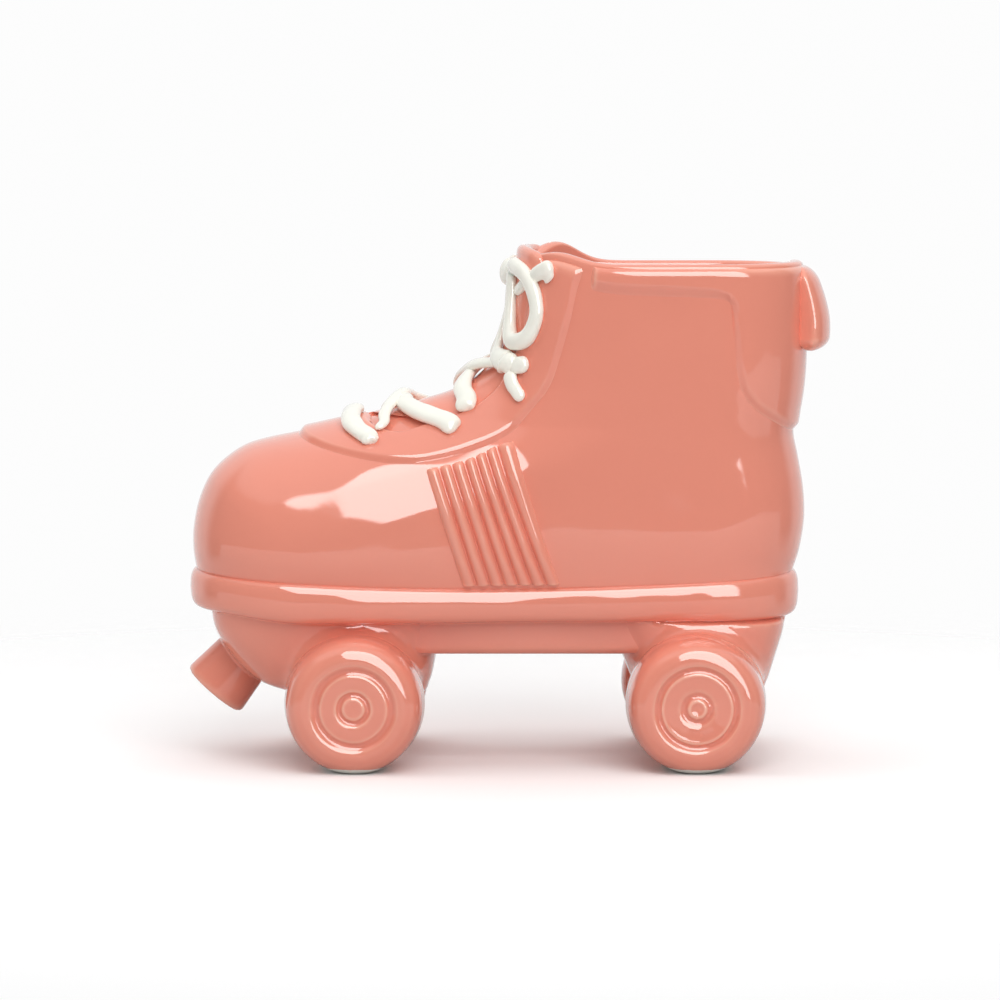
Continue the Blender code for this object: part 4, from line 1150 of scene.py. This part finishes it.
def tubField(axleX, stations, bottom, settings=chassisSettings):
    table = smoothThrough(stations, 10)
    drops = table[:, 3]
    order = np.argsort(drops)

    def field(p):
        drop = (soleZ - p[..., 2]) / mm
        front, rear, half = (np.interp(drop, drops[order], table[order, i]) * mm for i in range(3))
        fullness = settings["fullness"]
        reach = (rear - front) / 2
        x = p[..., 0] - axleX - (front + rear) / 2
        y = p[..., 1]
        ratio = (np.abs(x / reach) ** fullness + np.abs(y / half) ** fullness) ** (1 / fullness)
        away = np.hypot(x, y)
        side = away * (1 - 1 / np.maximum(ratio, 1e-3))
        side = np.where(ratio < 0.05, -np.minimum(reach, half), side)
        return softMax(side, bottom - p[..., 2], settings["bottomRound"])
    return field


def wheelField(node):
    axleX, axleZ, radius, lowY, highY = wheelPlace(node)

    def field(p):
        away = np.hypot(p[..., 0] - axleX, p[..., 2] - axleZ)
        share = (p[..., 1] - lowY) / (highY - lowY)
        share = share if highY > 0 else 1 - share
        barrel = radius + 0.35 * mm - 1.3 * mm * np.abs(share - 0.38) ** 2 * 4
        ends = np.maximum(lowY - p[..., 1], p[..., 1] - highY)
        return softMax(away - barrel, ends, 3 * mm)
    return field


def slabField(low, high, corner):
    low, high = np.array(low), np.array(high)

    def field(p):
        off = np.abs(p - (low + high) / 2) - (high - low) / 2 + corner
        return (np.linalg.norm(np.maximum(off, 0), axis=-1) + np.minimum(off.max(-1), 0)) - corner
    return field


def planOutline():
    # distance in plan to the crease line, tabled once and then read between its entries
    half = bootPoint(np.linspace(0, pi, 200), 0.0)[:, :2]
    step = 0.8 * mm
    xs = np.arange(half[:, 0].min() - 12 * mm, half[:, 0].max() + 12 * mm, step)
    ys = np.arange(0, ballHalfWidth + 12 * mm, step)
    gridX, gridY = np.meshgrid(xs, ys, indexing="ij")
    away = distanceTo(half, gridX, gridY)
    inside = gridY < np.interp(gridX, half[:, 0], half[:, 1], left=-1, right=-1)
    table = np.where(inside, -away, away)

    def lookUp(p):
        i = np.clip((p[..., 0] - xs[0]) / step, 0, len(xs) - 1.001)
        j = np.clip(np.abs(p[..., 1]) / step, 0, len(ys) - 1.001)
        a, b = i.astype(int), j.astype(int)
        u, v = i - a, j - b
        return ((1 - u) * (1 - v) * table[a, b] + u * (1 - v) * table[a + 1, b]
                + (1 - u) * v * table[a, b + 1] + u * v * table[a + 1, b + 1])
    return lookUp


creasePlan = planOutline()


def soleField(p):
    return softMax(soleHeight(p[..., 0]) + 0.15 * mm - p[..., 2], creasePlan(p) + 2.2 * mm, 1 * mm)


stopLow, stopHigh = (np.array(corner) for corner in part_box("toe_stop"))
stopSettings = {
    "axis": np.array([-0.652, 0.0, -0.758]), "flare": 1.5 * mm, "edge": 1.9 * mm,
    "length": 14.0 * mm, "reach": 9.0 * mm, "radius": stopHigh[1] + 0.5 * mm,
    "tip": (8.45 * mm, 5.6 * mm),  # centre of the end, from the corner of the stub's box
    "overrun": 0.4 * mm, "crown": 0.36 * mm,
}


def stopField(p, settings=stopSettings):
    axis = settings["axis"] / np.linalg.norm(settings["axis"])
    radius = settings["radius"]
    tipX, tipZ = settings["tip"]
    offset = p - np.array([stopLow[0] + tipX, 0, stopLow[2] + tipZ])
    run = offset @ axis
    away = np.linalg.norm(offset - run[..., None] * axis, axis=-1)
    taper = settings["flare"] * np.clip(-run / settings["length"], 0, 1.6)
    end = run - settings["overrun"] + settings["crown"] * np.clip(away / radius, 0, 1) ** 2
    body = softMax(away - (radius - taper), end, settings["edge"])
    return softMax(body, -run - settings["length"] - settings["reach"], 1 * mm)


def blended(own, neighbours, reach, settings=chassisSettings):
    # the piece itself, with a fillet that runs onto each neighbour and ends just under its skin
    def field(p):
        mine = own(p)
        total = mine
        for other, fillet in neighbours:
            total = np.minimum(total, softMin(mine, other(p) + settings["sunk"], fillet))
        sole = soleHeight(p[..., 0])
        overSole = 3 * np.maximum(sole - p[..., 2], 0)
        top = np.maximum(p[..., 2] - sole - settings["underSole"],
                         creasePlan(p) + settings["insideCrease"] - overSole)
        return np.maximum(np.maximum(total, mine - reach), top)
    return field


def makeChassis(settings):
    frontAxleX, rearAxleX = (wheelPlace(f"{end}_left_wheel")[0] for end in ("front", "rear"))
    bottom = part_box("front_truck_tub")[0][2]
    frontOwn = tubField(frontAxleX, settings["frontTub"], bottom)
    rearOwn = tubField(rearAxleX, settings["rearTub"], bottom)
    keelLow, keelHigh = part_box("arch_keel")
    intoTub, intoSole, corner = 8 * mm, 6 * mm, 3 * mm
    half = settings["keelHalfWidth"]
    keelOwn = slabField((keelLow[0] - intoTub, -half, soleZ - settings["keelDepth"]),
                        (keelHigh[0] + intoTub, half, soleZ + intoSole), corner)
    sole = (soleField, settings["soleFillet"])
    margin = 6 * mm
    jobs = [
        ("frontTruckTub", "front_truck_tub", frontOwn,
         [(wheelField("front_left_wheel"), settings["wheelFillet"]),
          (wheelField("front_right_wheel"), settings["wheelFillet"]),
          (keelOwn, settings["keelFillet"]), (stopField, settings["stopFillet"]), sole]),
        ("rearTruckTub", "rear_truck_tub", rearOwn,
         [(wheelField("rear_left_wheel"), settings["wheelFillet"]),
          (wheelField("rear_right_wheel"), settings["wheelFillet"]),
          (keelOwn, settings["keelFillet"]), sole]),
        ("archKeel", "arch_keel", keelOwn, [sole]),
        ("toeStop", "toe_stop", stopField, []),
    ]
    for name, node, own, neighbours in jobs:
        low, high = (np.array(corner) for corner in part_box(node))
        reach = max([fillet for _, fillet in neighbours], default=0) + 1 * mm
        low, high = low - margin, high + margin
        mesh = skinOf(name, blended(own, neighbours, reach), low, high, settings["step"])
        addPiece(name, mesh, coralGlaze, [node])
    print("chassis castings made")


makeChassis(chassisSettings)


def strandTree():
    tree, start, end = makeTree(
        "clayStrand", "GeometryNodeTree",
        [("Geometry", "NodeSocketGeometry", None), ("Flatness", "NodeSocketFloat", 0.7),
         ("Section Points", "NodeSocketInt", 20), ("Material", "NodeSocketMaterial", None)],
        [("Geometry", "NodeSocketGeometry")])
    girth, outward = readLayer(tree, "girth"), readLayer(tree, "outward", "FLOAT_VECTOR")
    path = addNode(tree, "GeometryNodeMeshToCurve", None, Mesh=start.outputs["Geometry"])
    held = addNode(tree, "GeometryNodeSetCurveNormal", {"mode": "FREE"}, Curve=path.outputs[0],
                   Normal=outward)
    circle = addNode(tree, "GeometryNodeCurvePrimitiveCircle", None,
                     Resolution=start.outputs["Section Points"], Radius=1.0)
    size = addNode(tree, "ShaderNodeCombineXYZ", None, X=start.outputs["Flatness"], Y=1.0, Z=1.0)
    oval = addNode(tree, "GeometryNodeTransform", None, Geometry=circle.outputs["Curve"],
                   Scale=size.outputs[0])
    tube = addNode(tree, "GeometryNodeCurveToMesh", None, Curve=held.outputs[0], Scale=girth,
                   **{"Profile Curve": oval.outputs[0], "Fill Caps": True})
    return finishTree(tree, tube.outputs[0], start, end)


clayStrand = strandTree()

laceSettings = {
    "voxel": 0.34 * mm, "smoothing": 5, "flatness": 0.62, "lift": 2.7 * mm, "sectionPoints": 24,
    "waver": 0.025, "spread": 0.5 * mm, "spacing": 0.45 * mm,
}


def strandPart(name, places, width, flatness, seed):
    # places are (turn, level, extra lift, width share)
    line = smoothThrough([(t, lv * 3, ex * 100, w) for t, lv, ex, w in places], 16)
    line = line / [1, 3, 100, 1]
    spine = bootPoint(line[:, 0], line[:, 1], laceSettings["lift"] + line[:, 2])
    run = np.concatenate([[0], np.cumsum(np.linalg.norm(np.diff(spine, axis=0), axis=1))])
    length = run[-1]
    wanted = np.linspace(0, length, max(18, int(length / laceSettings["spacing"])))
    spine = np.column_stack([np.interp(wanted, run, column) for column in spine.T])
    turn, level, share = (np.interp(wanted, run, line[:, i]) for i in (0, 1, 3))
    outward = outwardAt(turn, level)
    half = width / 2 + laceSettings["spread"]
    ends = np.minimum(wanted, length - wanted)
    cap = roundUp(ends, half, 0.004)
    waver = 1 + laceSettings["waver"] * (np.sin(wanted / (2.3 * mm) + seed)
                                         + 0.6 * np.sin(wanted / (1.3 * mm) + 2.1 * seed))
    girth = half * cap * share * waver
    holder = pointObject(name, spine, [(i, i + 1) for i in range(len(spine) - 1)],
                         [("girth", "FLOAT", girth), ("outward", "FLOAT_VECTOR", outward)])
    return runTree(holder, clayStrand, {"Flatness": flatness, "Material": whiteGlaze,
                                        "Section Points": laceSettings["sectionPoints"]})


def layClay(name, parts, nodes):
    # joins the parts of one laid piece, lets them run together and smooths the joins
    points, faces, base = [], [], 0
    for index, part in enumerate(parts):
        mesh = strandPart(f"{name}Part{index}", *part, 1.7 * index + len(name))
        points += [v.co[:] for v in mesh.vertices]
        faces += [[base + i for i in p.vertices] for p in mesh.polygons]
        base += len(mesh.vertices)
    joined = bpy.data.meshes.new(name)
    joined.from_pydata(points, [], faces)
    holder = newObject(name, joined)
    remesh = holder.modifiers.new("runTogether", "REMESH")
    remesh.mode = "VOXEL"
    remesh.voxel_size = laceSettings["voxel"]
    smooth = holder.modifiers.new("smooth", "SMOOTH")
    smooth.factor = 0.5
    smooth.iterations = laceSettings["smoothing"]
    graph = bpy.context.evaluated_depsgraph_get()
    mesh = bpy.data.meshes.new_from_object(holder.evaluated_get(graph))
    bpy.data.objects.remove(holder)
    mesh.shade_smooth()
    mesh.materials.clear()
    addPiece(name, mesh, whiteGlaze, nodes, passes=2)


def spot(shareX, shareZ, side, lift=0.0, width=1.0):
    turn, level = sideView(shareX, shareZ)
    return side * turn, level, lift * mm, width


def ridgeSpot(shareX, lift=0.0, width=1.0):
    return 0.0, onRidge(shareX)[1], lift * mm, width


def free(turn, level, side, lift=0.0, width=1.0):
    return side * turn, level, lift * mm, width


def makeLaces():
    flat = laceSettings["flatness"]
    for side, word in ((-1, "Left"), (1, "Right")):
        tag = word.lower()
        over = 1.3 * (side > 0)
        loop = [free(0.10, 0.936, side, 0.3, 1.0), free(0.25, 0.932, side, 0.4, 1.05),
                free(0.42, 0.917, side, 0.3, 1.05), free(0.57, 0.885, side, 0.1, 1.0),
                free(0.645, 0.845, side, 0, 1.0), free(0.60, 0.806, side, 0, 1.1),
                free(0.44, 0.800, side, 0, 1.15), free(0.33, 0.826, side, 0, 1.0),
                free(0.25, 0.862, side, 0, 0.92), free(0.19, 0.900, side, 0.2, 0.9),
                free(0.10, 0.926, side, 0.3, 0.95)]
        tail = [spot(0.533, 0.890, side, -0.6, 0.75), spot(0.553, 0.925, side, -0.6, 0.8),
                spot(0.570, 0.945, side, -0.1, 1.0), spot(0.590, 0.962, side, 0, 1.15)]
        hook = [spot(0.588, 0.955, side, -0.1, 0.9), spot(0.581, 0.930, side, -0.3, 0.7),
                spot(0.577, 0.912, side, -0.5, 0.5)]
        layClay(f"bowLoop{word}", [(loop, 4.0 * mm, 0.8)], [f"bow_loop_{tag}"])
        layClay(f"bowTail{word}", [(tail, 4.4 * mm, flat), (hook, 3.4 * mm, flat)],
                [f"bow_tail_{tag}"])
        knot = [spot(0.514, 0.690, side, 0.2, 0.9), spot(0.520, 0.665, side, 0.3, 1.1),
                spot(0.520, 0.640, side, 0, 0.8)]
        riser = [spot(0.520, 0.675, side, 0, 2.3), free(0.27, 0.770, side, -0.2, 1.7),
                 free(0.155, 0.805, side, -0.3, 1.0), free(0.10, 0.860, side, -0.4, 0.85),
                 free(0.07, 0.905, side, -0.2, 0.9)]
        stub = [spot(0.522, 0.665, side), spot(0.535, 0.672, side), spot(0.551, 0.680, side, 0, 1.1)]
        leg = [spot(0.520, 0.650, side), spot(0.523, 0.610, side, 0, 0.85),
               spot(0.530, 0.583, side, -0.1, 0.8), spot(0.538, 0.560, side, -0.3, 0.85)]
        layClay(f"eyeletKnot{word}", [(knot, 6.6 * mm, flat)], [f"eyelet_knot_{tag}"])
        layClay(f"laceRiser{word}", [(riser, 2.4 * mm, flat)], [f"lace_riser_{tag}"])
        layClay(f"laceStub{word}", [(stub, 4.4 * mm, flat)], [f"lace_stub_{tag}"])
        layClay(f"laceEnd{word}", [(leg, 4.2 * mm, flat)], [f"lace_end_{tag}"])
        upper = [spot(0.441, 0.512, side, -0.2, 1.15), spot(0.446, 0.555, side, 0, 1.1),
                 ridgeSpot(0.462, 0.2 + over, 0.9), spot(0.495, 0.665, -side, 0.2, 0.62),
                 spot(0.517, 0.668, -side, 0, 0.7)]
        layClay(f"upperCross{word}", [(upper, 4.9 * mm, flat)], [f"upper_cross_{tag}"])
        lower = [spot(0.426, 0.452, side, -0.2, 1.15), spot(0.395, 0.487, side, 0, 1.15),
                 ridgeSpot(0.342, 0.3 + over, 0.95), spot(0.312, 0.478, -side, 0, 0.62),
                 spot(0.299, 0.447, -side, -0.3, 0.55)]
        layClay(f"lowerCross{word}", [(lower, 5.0 * mm, flat)], [f"lower_cross_{tag}"])
    bar = [spot(0.286, 0.408, -1, -0.2), spot(0.276, 0.437, -1), ridgeSpot(0.262, 0.2),
           spot(0.276, 0.437, 1), spot(0.286, 0.408, 1, -0.2)]
    layClay("frontBar", [(bar, 5.4 * mm, flat)], ["front_bar"])
    top = rimLevel - 0.026
    bow = [free(0.13, top + 0.006, -1, 0, 0.8), free(0.05, top, -1, 0.3), free(0.0, top, 1, 0.9, 1.1),
           free(0.05, top, 1, 0.3), free(0.13, top + 0.006, 1, 0, 0.8)]
    layClay("bowKnot", [(bow, 7.0 * mm, 0.66)], ["bow_knot"])
    print("laces laid")


makeLaces()


studioSettings = {
    "floorTone": 0.94, "bounce": 0.72, "fadeFrom": 0.20, "fadeTo": 0.44,
    "halfWide": 1.4, "front": -0.70, "back": 1.4,
    "backdrop": 0.98, "skyGlow": 0.88, "skyFill": 0.98, "roomGlow": 0.2,
    # the window's edges, as slopes seen from the object, and its slanting foot as two lines
    "windowGlow": 7.5, "windowTop": 2.0, "windowSill": 0.03, "windowLeft": -0.32,
    "windowRight": 0.8, "windowFeet": [(1.2, 0.21), (2.8, 0.10)],
}


def makeFloor(settings):
    # a pale table that ends in front and melts into the white cloth behind
    material = bpy.data.materials.new("paperSweep")
    material.use_nodes = True
    tree = material.node_tree
    shader = tree.nodes["Principled BSDF"]
    place = addNode(tree, "ShaderNodeTexCoord").outputs["Object"]
    tone = rangeNode(tree, noiseNode(tree, place, 400.0, 2.0), 0.0, 1.0,
                     settings["floorTone"] - 0.005, settings["floorTone"] + 0.005)
    far = addNode(tree, "ShaderNodeVectorMath", {"operation": "LENGTH"}, at0=place)
    fade = rangeNode(tree, far.outputs["Value"], settings["fadeFrom"], settings["fadeTo"], 1.0, 0.0,
                     "SMOOTHSTEP")
    parts = addNode(tree, "ShaderNodeSeparateXYZ", None, Vector=place)
    front = mathNode(tree, "LESS_THAN", parts.outputs["Y"], 0.0)
    seen = addNode(tree, "ShaderNodeLightPath").outputs["Is Camera Ray"]
    whole = mathNode(tree, "MULTIPLY", front, mathNode(tree, "SUBTRACT", 1.0, seen))
    # the light it throws back up is held down, as on a floor that falls away
    thrown = rangeNode(tree, seen, 0.0, 1.0, settings["bounce"], 1.0)
    tree.links.new(mathNode(tree, "MULTIPLY", tone, thrown), shader.inputs["Base Color"])
    tree.links.new(mathNode(tree, "MAXIMUM", whole, fade), shader.inputs["Alpha"])
    shader.inputs["Roughness"].default_value = 0.9
    shader.inputs["Specular IOR Level"].default_value = 0.1
    halfWide, front, back = settings["halfWide"], settings["front"], settings["back"]
    mesh = bpy.data.meshes.new("floor")
    mesh.from_pydata([(-halfWide, front, 0), (halfWide, front, 0), (halfWide, back, 0),
                      (-halfWide, back, 0)], [], [(0, 1, 2, 3)])
    mesh.materials.append(material)
    newObject("floor", mesh)


def makeWorld(settings):
    world = bpy.data.worlds.new("studio")
    bpy.context.scene.world = world
    world.use_nodes = True
    tree = world.node_tree
    background = tree.nodes["Background"]
    direction = addNode(tree, "ShaderNodeTexCoord").outputs["Generated"]
    parts = addNode(tree, "ShaderNodeSeparateXYZ", None, Vector=direction)
    # dark room behind the camera, white cloth behind and above the object
    depth = rangeNode(tree, parts.outputs["Y"], 0.30, 0.62, settings["roomGlow"], 1.0, "SMOOTHSTEP")
    above = rangeNode(tree, parts.outputs["Z"], 0.60, 0.78, kind="SMOOTHSTEP")
    rays = addNode(tree, "ShaderNodeLightPath")
    mirrored = rays.outputs["Is Glossy Ray"]
    # the cloth lights the table a little more than the glaze mirrors it
    level = rangeNode(tree, mirrored, 0.0, 1.0, settings["skyFill"], settings["skyGlow"])
    glow = mathNode(tree, "MULTIPLY", mathNode(tree, "MAXIMUM", depth, above), level)
    # a bright window high in front, which only the glaze mirrors
    ahead = mathNode(tree, "MAXIMUM", mathNode(tree, "MULTIPLY", parts.outputs["Y"], -1.0), 0.01)
    aside = mathNode(tree, "DIVIDE", parts.outputs["X"], ahead)
    upward = mathNode(tree, "DIVIDE", parts.outputs["Z"], ahead)
    edges = [(upward, settings["windowTop"], -0.3), (upward, settings["windowSill"], 0.01),
             (aside, settings["windowLeft"], 0.03), (aside, settings["windowRight"], -0.1)]
    for lean, foot in settings["windowFeet"]:
        edges.append((mathNode(tree, "MULTIPLY_ADD", aside, lean, upward), foot, 0.02))
    window = mirrored
    for value, edge, soft in edges:
        inside = rangeNode(tree, value, edge - soft, edge + soft, kind="SMOOTHSTEP")
        window = mathNode(tree, "MULTIPLY", window, inside)
    shine = mathNode(tree, "MULTIPLY_ADD", window, settings["windowGlow"], glow)
    strength = mixNode(tree, rays.outputs["Is Camera Ray"], shine, settings["backdrop"], colour=False)
    background.inputs["Color"].default_value = (1, 1, 1, 1)
    tree.links.new(strength, background.inputs["Strength"])


def addSoftbox(name, place, aim, size, power):
    lamp = newObject(name, bpy.data.lights.new(name, "AREA"))
    lamp.visible_glossy = False
    lamp.data.shape = "RECTANGLE"
    lamp.data.size, lamp.data.size_y = size
    lamp.data.energy = power
    lamp.location = place
    lamp.rotation_euler = (Vector(aim) - Vector(place)).to_track_quat("-Z", "Y").to_euler()


makeFloor(studioSettings)
makeWorld(studioSettings)
addSoftbox("topBox", (0.0, 0.1, 1.5), (0, 0, 0.05), (1.6, 1.2), 4)
addSoftbox("frontBox", (0.27, -0.90, 0.78), (0.20, 0, 0.40), (1.05, 0.95), 8.2)
addSoftbox("leftBox", (-1.35, -0.15, 0.55), (-0.02, 0, 0.08), (0.5, 0.9), 3)
bpy.context.scene.view_settings.view_transform = "Standard"
bpy.context.scene.view_settings.look = "None"
print("floor and lights ready")
